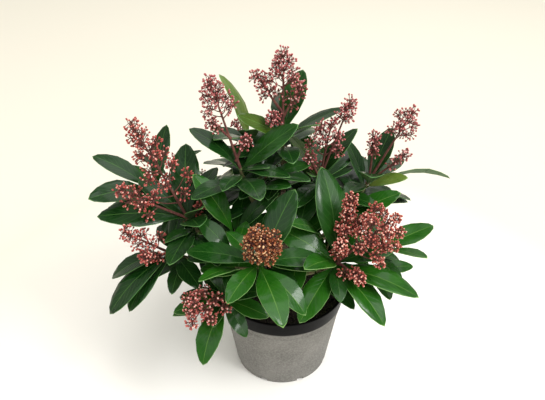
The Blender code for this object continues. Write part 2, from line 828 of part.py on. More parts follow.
def bough_line(bough, lines, shoots):
    """A curve from the parent's axis to just short of the foot of the shoot's stem."""
    shoot = shoots[bough.shoot]
    foot, middle, _ = stem_points(shoot)
    into = (middle - foot).normalized()
    end = foot - into * FIT_GAP
    start, along = point_along(lines[bough.parent][0], bough.share)
    outward = square_to(along, end - start)
    span = (end - start).length
    if bough.share == 1.0:
        start = start + along * FIT_GAP
        start_pull = along * span
    else:
        start_pull = (outward + along * 0.55).normalized() * span
    points = []
    for step in range(BOUGH_STEPS + 1):
        points.append(hermite(start, start_pull, end, into * span * 0.9, step / BOUGH_STEPS))
    points[-2] = end - into * (points[-2] - end).length
    if bough.share == 1.0:
        points[1] = start + along * (points[1] - start).length
    shares = [step / BOUGH_STEPS for step in range(BOUGH_STEPS + 1)]
    radii = [bough.foot_radius + (bough.tip_radius - bough.foot_radius) * s for s in shares]
    return points, radii


def build_limbs(material, shoots, room):
    """The trunk, then each bough, its foot cut to lie 0.3 mm off its parent's bark."""
    lines = {"trunk": trunk_line()}
    trunk = object_of("trunk", tube(*lines["trunk"], TRUNK_SIDES), material)
    shade(trunk)
    room.add("trunk", tube(*lines["trunk"], TRUNK_SIDES))
    for bough in BOUGHS:
        points, radii = bough_line(bough, lines, shoots)
        lines[bough.name] = (points, radii)
        shape = tube(points, radii, BOUGH_SIDES)
        room.add(bough.name, shape)
        limb = object_of(bough.name, shape, material)
        if bough.share < 1.0:
            parent_points, parent_radii = lines[bough.parent]
            sides = TRUNK_SIDES if bough.parent == "trunk" else BOUGH_SIDES
            grown = [radius + FIT_GAP / math.cos(math.pi / sides) for radius in parent_radii]
            parents = helper_collection("parent_limb")
            cutter = object_of("parent_cutter", tube(parent_points, grown, sides), material, parents)
            cutter.hide_render = True
            cutter.display_type = "WIRE"
            apply_boolean(limb, "DIFFERENCE", parents, "EXACT")
            keep_largest_shell(limb)
        shade(limb)


# ---- Masses -------------------------------------------------------------------------------------

def stem_shape(shoot):
    points = stem_points(shoot)
    tip_radius = next(b.tip_radius for b in BOUGHS if b.shoot == shoot.name)
    return tube(points, [tip_radius, (tip_radius + STEM_TIP_RADIUS) / 2, STEM_TIP_RADIUS], STEM_SIDES)


def head_shapes(shoot, head, chance):
    """The spike with its own top knot, then its sprays."""
    foot, tip = head_ends(shoot, head)
    sunk = foot - (tip - foot).normalized() * SPIKE_SINK
    shapes = [knotted(sunk, tip, SPIKE_RADII[0], SPIKE_RADII[1])]
    for start, end, size in head_sprays(shoot, head, chance):
        shapes.append(knotted(start, end, STALK_RADIUS, STALK_RADIUS, size))
    return shapes


def grow_masses(room):
    """Every mass's shapes. Stems and heads stand first, then set leaves, whorls, twigs and old leaves."""
    chances = {shoot.name: random.Random(SEED + index) for index, shoot in enumerate(SHOOTS)}
    shapes = {shoot.name: [stem_shape(shoot)] for shoot in SHOOTS}
    for shoot in SHOOTS:
        room.add(shoot.name, shapes[shoot.name][0])
    for shoot in SHOOTS:
        for head in shoot.heads:
            for shape in head_shapes(shoot, head, chances[shoot.name]):
                if free_of_others(room, shoot.name, shape):
                    shapes[shoot.name].append(shape)
                    room.add(shoot.name, shape)
    waiting = []
    for shoot in SHOOTS:
        for order, leaf in enumerate(whorl_leaves(shoot, chances[shoot.name])):
            is_set = order < len(shoot.set_leaves)
            waiting.append((0 if is_set else 1, shoot, leaf, SMALL_TURNS if is_set else WIDE_TURNS))
    for shoot in SHOOTS:
        for start, tip, tuft in twig_shoots(shoot, chances[shoot.name]):
            twig = tube([start, tip], TWIG_RADII, TWIG_SIDES)
            swollen = tube([start, tip], [radius + TWIG_CLEARANCE for radius in TWIG_RADII], TWIG_SIDES)
            if free_of_others(room, shoot.name, swollen):
                shapes[shoot.name].append(twig)
                room.add(shoot.name, twig)
                waiting += [(2, shoot, leaf, WIDE_TURNS) for leaf in tuft]
    for shoot in SHOOTS:
        waiting += [(3, shoot, leaf, WIDE_TURNS) for leaf in lower_leaves(shoot, chances[shoot.name])]
    waiting.sort(key=lambda item: item[0])
    for _, shoot, leaf, turns in waiting:
        grown = try_leaf(room, shoot.name, leaf, Vector(shoot.whorl), turns)
        if grown:
            shapes[shoot.name].append(leaf_shape(grown, leaf_profile(grown)))
    return shapes


def free_of_others(room, owner, shape):
    """Whether a twig or a knot of buds keeps clear of every other solid."""
    tree = tree_of(shape)
    return all(other == owner or not tree.overlap(whole) for other, whole, _, _ in room.standing)


def build_masses(shapes, material):
    for name, parts in shapes.items():
        mass = object_of(name, parts[0], material)
        others = helper_collection(name + "_parts")
        for index, shape in enumerate(parts[1:]):
            object_of(f"{name}_part_{index}", shape, material, others)
        apply_boolean(mass, "UNION", others, "MANIFOLD")
        keep_largest_shell(mass)
        shade(mass)


def main():
    clear_scene()
    plastic = plain_material("pot plastic", (0.045, 0.045, 0.043), 0.55)
    compost = plain_material("compost", (0.018, 0.012, 0.009), 0.95)
    bark = plain_material("bark", (0.16, 0.11, 0.07), 0.85)
    foliage = plain_material("foliage", (0.05, 0.16, 0.045), 0.45)
    room = Room()
    shoots = {shoot.name: shoot for shoot in SHOOTS}
    kept_out = RIM_RADIUS + POT_CLEARANCE
    top = POT_HEIGHT + POT_CLEARANCE
    room.add("pot", turned(((0, 0), (kept_out, 0), (kept_out, top), (0, top)), POT_SIDES))
    build_pot(plastic)
    build_soil(compost)
    build_limbs(bark, shoots, room)
    build_masses(grow_masses(room), foliage)


main()
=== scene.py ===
import json
import math
import random
from dataclasses import dataclass, replace

import bpy
import numpy as np
from mathutils import Matrix, Vector
from mathutils.bvhtree import BVHTree

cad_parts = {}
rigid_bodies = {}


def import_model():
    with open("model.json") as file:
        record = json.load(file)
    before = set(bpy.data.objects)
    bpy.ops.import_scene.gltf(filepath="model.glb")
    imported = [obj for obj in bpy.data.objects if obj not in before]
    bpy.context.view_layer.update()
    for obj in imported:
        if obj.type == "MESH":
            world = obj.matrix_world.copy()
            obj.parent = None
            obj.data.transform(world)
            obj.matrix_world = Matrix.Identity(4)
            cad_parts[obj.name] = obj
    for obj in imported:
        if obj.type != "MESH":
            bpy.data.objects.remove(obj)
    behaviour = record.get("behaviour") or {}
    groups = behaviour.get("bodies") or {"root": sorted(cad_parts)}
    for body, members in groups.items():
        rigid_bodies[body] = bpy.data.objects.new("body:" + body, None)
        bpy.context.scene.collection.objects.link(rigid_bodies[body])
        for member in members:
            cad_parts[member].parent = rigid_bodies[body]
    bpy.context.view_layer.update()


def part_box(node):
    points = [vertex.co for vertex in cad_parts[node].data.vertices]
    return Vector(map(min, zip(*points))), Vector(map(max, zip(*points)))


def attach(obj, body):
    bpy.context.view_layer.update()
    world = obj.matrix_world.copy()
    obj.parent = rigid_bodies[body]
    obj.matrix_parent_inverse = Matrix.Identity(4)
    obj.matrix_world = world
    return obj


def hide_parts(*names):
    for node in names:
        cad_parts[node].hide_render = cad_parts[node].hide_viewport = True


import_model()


# ---- The pot ------------------------------------------------------------------------------------
# A thin-walled round nursery pot of recycled black plastic, moulded in one piece: a shallow collar, a
# bead below it, and notches under its foot that let water out. A grey film lies on its wall and ends at
# the collar, which stays near-black: partly its bare plastic, partly painted shade from the leaves over
# it. It is drawn up ring by ring from its base, then notched.

pot_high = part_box("pot")[1]
RIM_RADIUS = pot_high[0]
POT_HEIGHT = pot_high[2]
COLLAR_DEPTH = 0.022
COLLAR_FOOT = POT_HEIGHT - COLLAR_DEPTH
COLLAR_FOOT_RADIUS = 0.0817
BODY_TOP_RADIUS = 0.0802
BASE_RADIUS = 0.0647
BASE_THICKNESS = 0.0025
FOOT_CHAMFER = (0.0015, 0.0012)  # inward and up
WALL = 0.0018
LIP_THICKNESS = 0.0026
LIP_ROUNDING = ((0.0006, 0.0030), (0.0, 0.0012), (0.0007, 0.0))  # in from the rim, down from its top
BEAD_HEIGHT = 0.0972
BEAD_DEPTH = 0.0007
BEAD_HALF = 0.0012  # half its width at the wall
BEAD_CREST = 0.0004  # half its width at its crest
STEP_OUT = 0.0006  # the height in which the body widens into the collar
STEP_IN = (0.0015, 0.0010)  # above and below the same step, inside the wall
POT_SIDES = 144
EDGE_ROUNDING = 0.0004
SHARP_ANGLE = math.radians(35)
DRAIN_SLOTS = 8
SLOT_SIZE = (0.020, 0.009, 0.010)
# the collar's near-black: its bare plastic, and painted shade from the leaves over it
PLASTIC_BLACK_AND_SHADE = (0.0028, 0.0027, 0.0028)
PLASTIC_FILM = (0.212, 0.206, 0.191)
PLASTIC_FILM_DARK = (0.155, 0.151, 0.140)
PLASTIC_FILM_GRAIN = (0.290, 0.283, 0.266)
FILM_PATCHES = 26.0
FILM_STREAKS = (90.0, 90.0, 9.0)  # finer round the wall than up it
FILM_SPECKS = 420.0
FILM_EDGE = (-0.0012, 0.0022)  # heights from the collar's foot between which the film ends
FILM_WAVER = 0.0012
PLASTIC_GRAIN = 900.0


def deselect_all():
    for obj in bpy.context.selected_objects:
        obj.select_set(False)


def pick(obj):
    """Selects one piece alone, for the operators to act on."""
    deselect_all()
    obj.select_set(True)
    bpy.context.view_layer.objects.active = obj


def edit(obj, mode):
    """Opens a piece for editing with nothing selected in it."""
    pick(obj)
    bpy.ops.object.mode_set(mode="EDIT")
    bpy.ops.mesh.select_mode(type=mode)
    bpy.ops.mesh.select_all(action="DESELECT")


def close_edit(obj):
    """Turns the faces outward and leaves edit mode."""
    bpy.ops.mesh.select_all(action="SELECT")
    bpy.ops.mesh.normals_make_consistent(inside=False)
    bpy.ops.object.mode_set(mode="OBJECT")
    return obj


def drawn_up(name, base_radius, rings, sides):
    """A closed turned shape: a filled disc whose edge is extruded through each (radius, height)."""
    deselect_all()
    bpy.ops.mesh.primitive_circle_add(vertices=sides, radius=base_radius, fill_type="NGON")
    obj = bpy.context.object
    obj.name = name
    obj.data.name = name
    edit(obj, "EDGE")
    bpy.ops.mesh.select_all(action="SELECT")
    radius, height = base_radius, 0.0
    for next_radius, next_height in rings:
        bpy.ops.mesh.extrude_edges_move(TRANSFORM_OT_translate={"value": (0, 0, next_height - height)})
        grown = next_radius / radius
        bpy.ops.transform.resize(value=(grown, grown, 1))
        radius, height = next_radius, next_height
    bpy.ops.mesh.edge_face_add()
    return close_edit(obj)


def apply_modifier(obj, kind, **settings):
    pick(obj)
    modifier = obj.modifiers.new(kind.title(), kind)
    for key, value in settings.items():
        setattr(modifier, key, value)
    bpy.ops.object.modifier_apply(modifier=modifier.name)


def wall_radius(height):
    """The body's outer radius at a height, below its collar."""
    return BASE_RADIUS + (BODY_TOP_RADIUS - BASE_RADIUS) * height / COLLAR_FOOT


def new_material(name):
    """A material: (itself, its node tree, its Principled shader)."""
    material = bpy.data.materials.new(name)
    material.use_nodes = True
    return material, material.node_tree, material.node_tree.nodes["Principled BSDF"]


def add_node(tree, kind, settings=None, **inputs):
    """A node with its settings, and with each named input set or fed by a socket."""
    node = tree.nodes.new(kind)
    for key, value in (settings or {}).items():
        setattr(node, key, value)
    for key, value in inputs.items():
        feed(tree, node.inputs[key.replace("_", " ")], value)
    return node


def feed(tree, socket, value):
    """Links a socket, or sets a number or a colour."""
    if isinstance(value, bpy.types.NodeSocket):
        tree.links.new(value, socket)
    elif isinstance(value, tuple) and len(value) == 3 and len(socket.default_value) == 4:
        socket.default_value = (*value, 1.0)
    else:
        socket.default_value = value


def mixed(tree, factor, first, second):
    """The colour between two colours."""
    node = tree.nodes.new("ShaderNodeMix")
    node.data_type = "RGBA"
    feed(tree, node.inputs[0], factor)
    feed(tree, node.inputs[6], first)
    feed(tree, node.inputs[7], second)
    return node.outputs[2]


def ranged(tree, value, low, high, to_low=0.0, to_high=1.0):
    """A value carried from one range to another, and kept within it."""
    limits = {"From_Min": low, "From_Max": high, "To_Min": to_low, "To_Max": to_high}
    return add_node(tree, "ShaderNodeMapRange", Value=value, **limits).outputs["Result"]


def reckoned(tree, operation, *values):
    """The result of one sum on values or sockets."""
    node = add_node(tree, "ShaderNodeMath", {"operation": operation})
    for socket, value in zip(node.inputs, values):
        feed(tree, socket, value)
    return node.outputs["Value"]


def own_place(tree):
    """Where a point lies on its piece."""
    return tree.nodes.new("ShaderNodeTexCoord").outputs["Object"]


def cloudy(tree, place, scale, detail):
    return add_node(tree, "ShaderNodeTexNoise", Vector=place, Scale=scale, Detail=detail).outputs["Fac"]


def streaky(tree, place, scales, detail):
    """Clouds drawn out along one axis."""
    stretched = add_node(tree, "ShaderNodeMapping", Vector=place, Scale=scales)
    return cloudy(tree, stretched.outputs["Vector"], 1.0, detail)


def raised(tree, height, strength, distance, normal=None, invert=False):
    """The normal of a relief, on top of another normal."""
    node = add_node(
        tree, "ShaderNodeBump", {"invert": invert}, Height=height, Strength=strength, Distance=distance
    )
    if normal:
        feed(tree, node.inputs["Normal"], normal)
    return node.outputs["Normal"]


def finish(tree, shader, colour, roughness, normal):
    feed(tree, shader.inputs["Base Color"], colour)
    feed(tree, shader.inputs["Roughness"], roughness)
    feed(tree, shader.inputs["Normal"], normal)


def effect_group(name, inputs, outputs):
    """An empty shader node group: (group, its input node, its output node)."""
    group = bpy.data.node_groups.new(name, "ShaderNodeTree")
    for socket, (kind, value) in inputs.items():
        made = group.interface.new_socket(socket, in_out="INPUT", socket_type=kind)
        made.default_value = (*value, 1.0) if isinstance(value, tuple) else value
    for socket, kind in outputs.items():
        group.interface.new_socket(socket, in_out="OUTPUT", socket_type=kind)
    return group, group.nodes.new("NodeGroupInput"), group.nodes.new("NodeGroupOutput")


def mottle_group():
    """Cloudy patches of two colours, and a fine relief of the same scale."""
    group, given, out = effect_group(
        "Mottle",
        {
            "First": ("NodeSocketColor", (0.5, 0.5, 0.5)),
            "Second": ("NodeSocketColor", (0.2, 0.2, 0.2)),
            "Scale": ("NodeSocketFloat", 60.0),
            "Relief": ("NodeSocketFloat", 0.1),
        },
        {"Color": "NodeSocketColor", "Mask": "NodeSocketFloat", "Normal": "NodeSocketVector"},
    )
    cloud = cloudy(group, own_place(group), given.outputs["Scale"], 4.0)
    mask = ranged(group, cloud, 0.35, 0.65)
    colour = mixed(group, mask, given.outputs["First"], given.outputs["Second"])
    group.links.new(colour, out.inputs["Color"])
    group.links.new(mask, out.inputs["Mask"])
    group.links.new(raised(group, cloud, given.outputs["Relief"], 0.002), out.inputs["Normal"])
    return group


mottle = mottle_group()


def mottled(tree, first, second, scale, relief):
    """The outputs of a Mottle group placed in a material."""
    node = tree.nodes.new("ShaderNodeGroup")
    node.node_tree = mottle
    for socket, value in (("First", first), ("Second", second), ("Scale", scale), ("Relief", relief)):
        feed(tree, node.inputs[socket], value)
    return node.outputs


def pot_plastic():
    """Black plastic under a grey film that ends at the collar, which is left near-black as bare plastic and
    painted shade.
    """
    material, tree, shader = new_material("pot_plastic")
    place = own_place(tree)
    height = add_node(tree, "ShaderNodeSeparateXYZ", Vector=place).outputs["Z"]
    film = mottled(tree, PLASTIC_FILM, PLASTIC_FILM_DARK, FILM_PATCHES, 0.05)
    streaks = ranged(tree, streaky(tree, place, FILM_STREAKS, 5.0), 0.40, 0.72, 0.0, 0.35)
    specks = ranged(tree, cloudy(tree, place, FILM_SPECKS, 3.0), 0.40, 0.64, 0.0, 0.55)
    streaked = mixed(tree, streaks, film["Color"], PLASTIC_FILM_DARK)
    filmed = mixed(tree, specks, streaked, PLASTIC_FILM_GRAIN)
    wavering = reckoned(tree, "MULTIPLY_ADD", film["Mask"], FILM_WAVER, height)
    # Above the film's edge the collar takes the near-black: bare plastic, and painted shade of the leaves.
    bare_collar_and_shade = ranged(tree, wavering, COLLAR_FOOT + FILM_EDGE[0], COLLAR_FOOT + FILM_EDGE[1])
    normal = raised(tree, cloudy(tree, place, PLASTIC_GRAIN, 2.0), 0.12, 0.0004, film["Normal"])
    colour = mixed(tree, bare_collar_and_shade, filmed, PLASTIC_BLACK_AND_SHADE)
    finish(tree, shader, colour, ranged(tree, bare_collar_and_shade, 0.0, 1.0, 0.62, 0.42), normal)
    shader.inputs["Specular IOR Level"].default_value = 0.035
    return material


pot = drawn_up(
    "pot_wall",
    BASE_RADIUS - FOOT_CHAMFER[0],
    [
        (BASE_RADIUS, FOOT_CHAMFER[1]),
        (wall_radius(BEAD_HEIGHT - BEAD_HALF), BEAD_HEIGHT - BEAD_HALF),
        (wall_radius(BEAD_HEIGHT) + BEAD_DEPTH, BEAD_HEIGHT - BEAD_CREST),
        (wall_radius(BEAD_HEIGHT) + BEAD_DEPTH, BEAD_HEIGHT + BEAD_CREST),
        (wall_radius(BEAD_HEIGHT + BEAD_HALF), BEAD_HEIGHT + BEAD_HALF),
        (BODY_TOP_RADIUS, COLLAR_FOOT - STEP_OUT),
        (COLLAR_FOOT_RADIUS, COLLAR_FOOT),
        *[(RIM_RADIUS - inward, POT_HEIGHT - down) for inward, down in LIP_ROUNDING],
        (RIM_RADIUS - LIP_THICKNESS, POT_HEIGHT),
        (COLLAR_FOOT_RADIUS - WALL, COLLAR_FOOT + STEP_IN[0]),
        (BODY_TOP_RADIUS - WALL, COLLAR_FOOT - STEP_IN[1]),
        (wall_radius(BASE_THICKNESS) - WALL, BASE_THICKNESS),
    ],
    POT_SIDES,
)
drain_cutters = []
for index in range(DRAIN_SLOTS):
    turn = math.tau * (index + 0.5) / DRAIN_SLOTS
    place = (BASE_RADIUS * math.cos(turn), BASE_RADIUS * math.sin(turn), 0)
    bpy.ops.mesh.primitive_cube_add(size=1, location=place, rotation=(0, 0, turn), scale=SLOT_SIZE)
    drain_cutters.append(bpy.context.object)
deselect_all()
for cutter in drain_cutters:
    cutter.select_set(True)
bpy.ops.object.join()
drain_cutter = bpy.context.object
apply_modifier(pot, "BOOLEAN", object=drain_cutter, operation="DIFFERENCE", solver="EXACT")
bpy.data.objects.remove(drain_cutter)
apply_modifier(pot, "BEVEL", width=EDGE_ROUNDING, segments=2, limit_method="ANGLE", angle_limit=SHARP_ANGLE)
bpy.ops.object.shade_smooth_by_angle(angle=SHARP_ANGLE)
pot.data.materials.clear()
pot.data.materials.append(pot_plastic())
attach(pot, "root")
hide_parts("pot")


# ---- The compost --------------------------------------------------------------------------------
# Moist dark peat compost that fills the pot to two centimetres below its rim. Its top is lumpy, with
# loose crumbs lying in it.

soil_low, soil_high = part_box("soil")
SOIL_CROWN = 0.002  # rise of the compost towards its middle
SOIL_TOP = soil_high[2] - SOIL_CROWN
SOIL_RADIUS = soil_high[0]
SOIL_BASE_RADIUS = wall_radius(BASE_THICKNESS) - WALL - 0.0006
SOIL_RINGS = 22
SOIL_SIDES = 72
SOIL_LUMPS = 0.0045
LUMP_SIZE = 0.012
CRUMBS = 620
CRUMB_SEED = 31
CRUMB_RADII = (0.0008, 0.0026)
CRUMB_LIE = 0.0006  # the middle of a crumb above the compost
CRUMB_KEPT_IN = 0.003  # from the wall
COMPOST_DARK = (0.010, 0.0075, 0.006)
COMPOST_LIGHT = (0.040, 0.027, 0.019)


def compost():
    material, tree, shader = new_material("compost")
    peat = mottled(tree, COMPOST_DARK, COMPOST_LIGHT, 420.0, 0.9)
    finish(tree, shader, peat["Color"], 0.93, peat["Normal"])
    return material


def pattern_of(obj):
    """A finished small piece as arrays: its points, its faces and each face's material number."""
    points = np.array([v.co[:] for v in obj.data.vertices])
    faces = [tuple(p.vertices) for p in obj.data.polygons]
    slots = np.array([p.material_index for p in obj.data.polygons])
    bpy.data.objects.remove(obj)
    return points, faces, slots


def joined_copies(name, pattern_faces, copies, slots, materials):
    """One piece of many copies of a pattern, each with its own points and its own material numbers."""
    count = copies.shape[1]
    faces = [
        tuple(corner + shift for corner in face)
        for shift in range(0, len(copies) * count, count)
        for face in pattern_faces
    ]
    mesh = bpy.data.meshes.new(name)
    mesh.from_pydata(copies.reshape(-1, 3), [], faces)
    for material in materials:
        mesh.materials.append(material)
    mesh.polygons.foreach_set("material_index", np.asarray(slots).ravel())
    mesh.shade_smooth()
    obj = bpy.data.objects.new(name, mesh)
    bpy.context.scene.collection.objects.link(obj)
    return obj


rise = SOIL_TOP - soil_low[2]
soil_rings = [(SOIL_RADIUS, rise)]
soil_rings += [(SOIL_RADIUS * (1 - ring / SOIL_RINGS), rise) for ring in range(1, SOIL_RINGS)]
soil = drawn_up("compost_fill", SOIL_BASE_RADIUS, soil_rings, SOIL_SIDES)
soil.location = (0, 0, soil_low[2])
pick(soil)
bpy.ops.object.transform_apply(location=True, rotation=False, scale=False)
lumps = bpy.data.textures.new("compost_lumps", "CLOUDS")
lumps.noise_scale = LUMP_SIZE
top = soil.vertex_groups.new(name="top")
top.add([v.index for v in soil.data.vertices if v.co.z > SOIL_TOP - 0.001], 1.0, "REPLACE")
apply_modifier(
    soil, "DISPLACE", texture=lumps, texture_coords="LOCAL", direction="Z", strength=SOIL_LUMPS,
    mid_level=0.45, vertex_group="top",
)
soil.vertex_groups.clear()
soil.data.shade_smooth()
soil_material = compost()
soil.data.materials.append(soil_material)

deselect_all()
bpy.ops.mesh.primitive_ico_sphere_add(subdivisions=1, radius=1.0)
crumb_points, crumb_faces, _ = pattern_of(bpy.context.object)
scatter = random.Random(CRUMB_SEED)
crumb_copies = []
for _ in range(CRUMBS):
    around = scatter.uniform(0, math.tau)
    out = (SOIL_RADIUS - CRUMB_KEPT_IN) * math.sqrt(scatter.random())
    size = np.array([scatter.uniform(*CRUMB_RADII) for _ in range(3)])
    spin = np.array(Matrix.Rotation(scatter.uniform(0, math.tau), 3, "Z"))
    lie = np.array([out * math.cos(around), out * math.sin(around), SOIL_TOP + CRUMB_LIE])
    crumb_copies.append((crumb_points * size) @ spin.T + lie)
crumb_slots = np.zeros(CRUMBS * len(crumb_faces), int)
crumbs = joined_copies("compost_crumbs", crumb_faces, np.array(crumb_copies), crumb_slots, [soil_material])
for piece in (soil, crumbs):
    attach(piece, "root")
    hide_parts("soil")


# ---- The trunk and the boughs -------------------------------------------------------------------
# A short woody stem that forks just above the compost into tapering boughs, which end where they
# enter the foliage. The bark is grey-brown and finely ridged along the limb. Each limb is a bevelled
# curve, and its bark is pushed out by a cloudy texture.

FIT_GAP = 0.0003
TRUNK_TIP = (0.001, 0.006, 0.160)
TRUNK_FOOT_RADIUS = 0.0115
TRUNK_RADIUS = 0.0085
TRUNK_TIP_RADIUS = 0.0062
TRUNK_FLARE = 0.007
FLARE_SHAPE = (0.35, 0.87)  # share of the flare's height, and of the foot's radius there
TRUNK_FINISH = (8, 24)  # steps between points, and sides, of the bark
BOUGH_STEPS = 4
BOUGH_FINISH = (12, 14)
BOUGH_PULLS = (0.55, 0.9)  # how far it follows its parent at its start, and its stem at its end
STEM_BEND = 16.0
BEND_SHARES = (0.25, 0.75)  # of it, in the upper and the lower half
BARK_RELIEF = 0.0007
BARK_BROWN = (0.150, 0.098, 0.058)
BARK_GREY = (0.235, 0.190, 0.135)
BARK_PATCHES = 190.0
BARK_RIDGES = (520.0, 520.0, 90.0)  # finer round a limb than along it
BARK_SHADE = 0.35  # of the first brown, between the ridges
BARK_CLOUDS = 0.0035


@dataclass
class Head:
    """One budded spike. Its first spray stands a bare share up, and it starts on the main spike."""

    lean: tuple  # azimuth, and tilt from upright
    length: float
    reach: float  # of the lowest sprays
    sprays: int
    bare: float = 0.25
    start: float = 0.0  # height above the whorl, along the first spike
    taper: float = 0.65  # share of the reach that the top sprays lose


@dataclass
class Shoot:
    """One mass. A set leaf is (azimuth, climb, length, roll), and the rule grows the others."""

    name: str
    whorl: tuple
    lean: tuple  # azimuth, and tilt from upright
    stem: float
    heads: tuple = ()
    set_leaves: tuple = ()
    leaves: int = 8
    old_leaves: int = 2
    twigs: int = 1
    leaf_length: float = 0.076


@dataclass
class Bough:
    """One tapering limb from a share of its parent's length to the foot of a shoot's stem."""

    name: str
    parent: str
    share: float
    shoot: str
    foot_radius: float = 0.0042
    tip_radius: float = 0.0027


SHOOTS = (
    Shoot(
        "top_spray", (-0.001, 0.020, 0.335), (95, 4), 0.070,
        heads=(
            Head((180, 0), 0.106, 0.021, 13, 0.62, taper=0.45),
            Head((190, 32), 0.062, 0.014, 7, 0.42, 0.028, 0.3),
            Head((5, 28), 0.048, 0.012, 4, 0.45, 0.022, 0.3),
            Head((225, 48), 0.030, 0.009, 3, 0.60, 0.012),
        ),
        set_leaves=((62, 52, 0.082), (-166, 33, 0.062, -30)),
    ),
    Shoot(
        "upper_left_spray", (-0.050, -0.020, 0.313), (168, 12), 0.060,
        heads=(
            Head((173, 16), 0.114, 0.022, 13, 0.62, taper=0.45),
            Head((0, 24), 0.032, 0.007, 2, 0.60, 0.012),
            Head((185, 46), 0.032, 0.008, 2, 0.60, 0.040),
        ),
        set_leaves=((164, 36, 0.072), (6, 40, 0.084, 30), (-27, 9, 0.062), (-108, 10, 0.056)),
    ),
    Shoot(
        "upper_back_spray", (-0.040, 0.035, 0.320), (130, 14), 0.050,
        set_leaves=((130, 50, 0.090, 25), (-93, 46, 0.060)),
        leaves=5, old_leaves=2, twigs=0, leaf_length=0.066,
    ),
    Shoot(
        "left_spray", (-0.111, -0.045, 0.261), (190, 24), 0.060,
        heads=(
            Head((184, 22), 0.136, 0.036, 25, 0.24, taper=0.75),
            Head((200, 54), 0.092, 0.018, 8, 0.50, taper=0.4),
            Head((-13, 44), 0.040, 0.010, 3, 0.40),
        ),
        set_leaves=((-167, 7, 0.100, -20), (96, 50, 0.092)),
    ),
    Shoot(
        "far_left_spray", (-0.158, -0.002, 0.276), (176, 42), 0.055,
        set_leaves=((167, 26, 0.080), (-137, 15, 0.084, -30), (74, 56, 0.080)),
        leaves=5, leaf_length=0.068,
    ),
    Shoot(
        "low_left_spray", (-0.133, -0.060, 0.222), (207, 50), 0.050,
        heads=(
            Head((208, 46), 0.072, 0.020, 9, 0.35),
            Head((228, 68), 0.044, 0.014, 5, 0.35),
        ),
        set_leaves=((-174, -14, 0.078), (-147, -22, 0.098), (-138, -36, 0.082), (-55, -8, 0.062)),
        leaves=2,
    ),
    Shoot(
        "low_front_spray", (-0.070, -0.105, 0.192), (232, 58), 0.048,
        heads=(
            Head((229, 74), 0.054, 0.024, 13, 0.20, taper=0.3),
        ),
        set_leaves=((-16, -14, 0.056), (-49, -36, 0.050), (-112, -38, 0.076)),
        leaves=6, leaf_length=0.060, old_leaves=2,
    ),
    Shoot(
        "front_spray", (-0.028, -0.120, 0.255), (258, 34), 0.060,
        heads=(Head((300, 18), 0.048, 0.021, 15, 0.30, taper=0.25),),
        set_leaves=(
            (169, 3, 0.078), (-118, -4, 0.062), (-71, -14, 0.078), (15, -6, 0.072), (-40, -27, 0.070),
            (50, 50, 0.090), (140, 28, 0.054),
        ),
        leaves=0,
    ),
    Shoot(
        "right_front_spray", (0.060, -0.085, 0.228), (-38, 40), 0.060,
        heads=(
            Head((-16, 38), 0.088, 0.034, 22, 0.42, taper=0.35),
            Head((50, 14), 0.084, 0.013, 7, 0.45),
            Head((-58, 84), 0.046, 0.012, 4, 0.45),
            Head((-92, 30), 0.056, 0.012, 4, 0.45),
        ),
        set_leaves=(
            (107, 57, 0.108), (161, 24, 0.080, -25), (-126, -27, 0.078), (-92, -16, 0.052), (-50, -21, 0.088),
            (-24, -5, 0.102),
        ),
    ),
    Shoot(
        "upper_right_spray", (0.044, 0.005, 0.285), (15, 16), 0.060,
        heads=(
            Head((10, 18), 0.108, 0.012, 6, 0.74, taper=0.3),
            Head((-20, 8), 0.078, 0.024, 10, 0.50, taper=0.3),
            Head((212, 26), 0.044, 0.010, 3, 0.45),
        ),
        set_leaves=((29, 53, 0.074), (147, 47, 0.068), (-60, -11, 0.060), (-119, 0, 0.060)),
    ),
    Shoot(
        "far_right_spray", (0.106, 0.020, 0.271), (8, 24), 0.060,
        heads=(
            Head((7, 26), 0.108, 0.020, 10, 0.66, taper=0.3),
            Head((0, 2), 0.070, 0.010, 4, 0.60),
            Head((-10, 44), 0.064, 0.008, 3, 0.60),
        ),
        set_leaves=(
            (52, 48, 0.074), (6, 1, 0.106, -38), (-127, 16, 0.056), (-25, 28, 0.056, 20), (128, 56, 0.066),
        ),
    ),
    Shoot(
        "low_right_spray", (0.118, -0.034, 0.205), (-14, 62), 0.050,
        set_leaves=((22, 13, 0.078), (-48, 24, 0.074)),
        leaves=6, leaf_length=0.068,
    ),
    Shoot(
        "middle_spray", (-0.004, 0.078, 0.246), (88, 16), 0.055,
        heads=(Head((60, 14), 0.046, 0.018, 8, 0.30, taper=0.4),),
    ),
    Shoot(
        "inner_left_spray", (-0.058, -0.058, 0.248), (226, 24), 0.045,
        set_leaves=((156, 50, 0.082), (195, 14, 0.042)),
        leaf_length=0.070,
    ),
    Shoot("inner_front_spray", (0.016, -0.062, 0.246), (-70, 18), 0.045, leaf_length=0.072),
    Shoot(
        "inner_right_spray", (0.080, -0.016, 0.246), (-20, 26), 0.045,
        set_leaves=((3, 27, 0.066, 30),),
        leaf_length=0.070,
    ),
    Shoot(
        "right_back_spray", (0.108, 0.090, 0.222), (40, 38), 0.055,
        heads=(Head((40, 36), 0.074, 0.022, 7, 0.34),),
    ),
    Shoot(
        "back_spray", (0.040, 0.134, 0.226), (74, 38), 0.055,
        heads=(Head((72, 36), 0.076, 0.022, 7, 0.34),),
    ),
    Shoot(
        "left_back_spray", (-0.050, 0.120, 0.234), (112, 34), 0.055,
        heads=(Head((112, 34), 0.074, 0.022, 7, 0.34),),
    ),
    Shoot(
        "far_left_back_spray", (-0.108, 0.074, 0.218), (147, 44), 0.055,
        heads=(Head((147, 44), 0.070, 0.022, 7, 0.34),),
    ),
    Shoot("low_back_spray", (-0.006, 0.142, 0.186), (92, 62), 0.050, leaves=7, leaf_length=0.068),
)

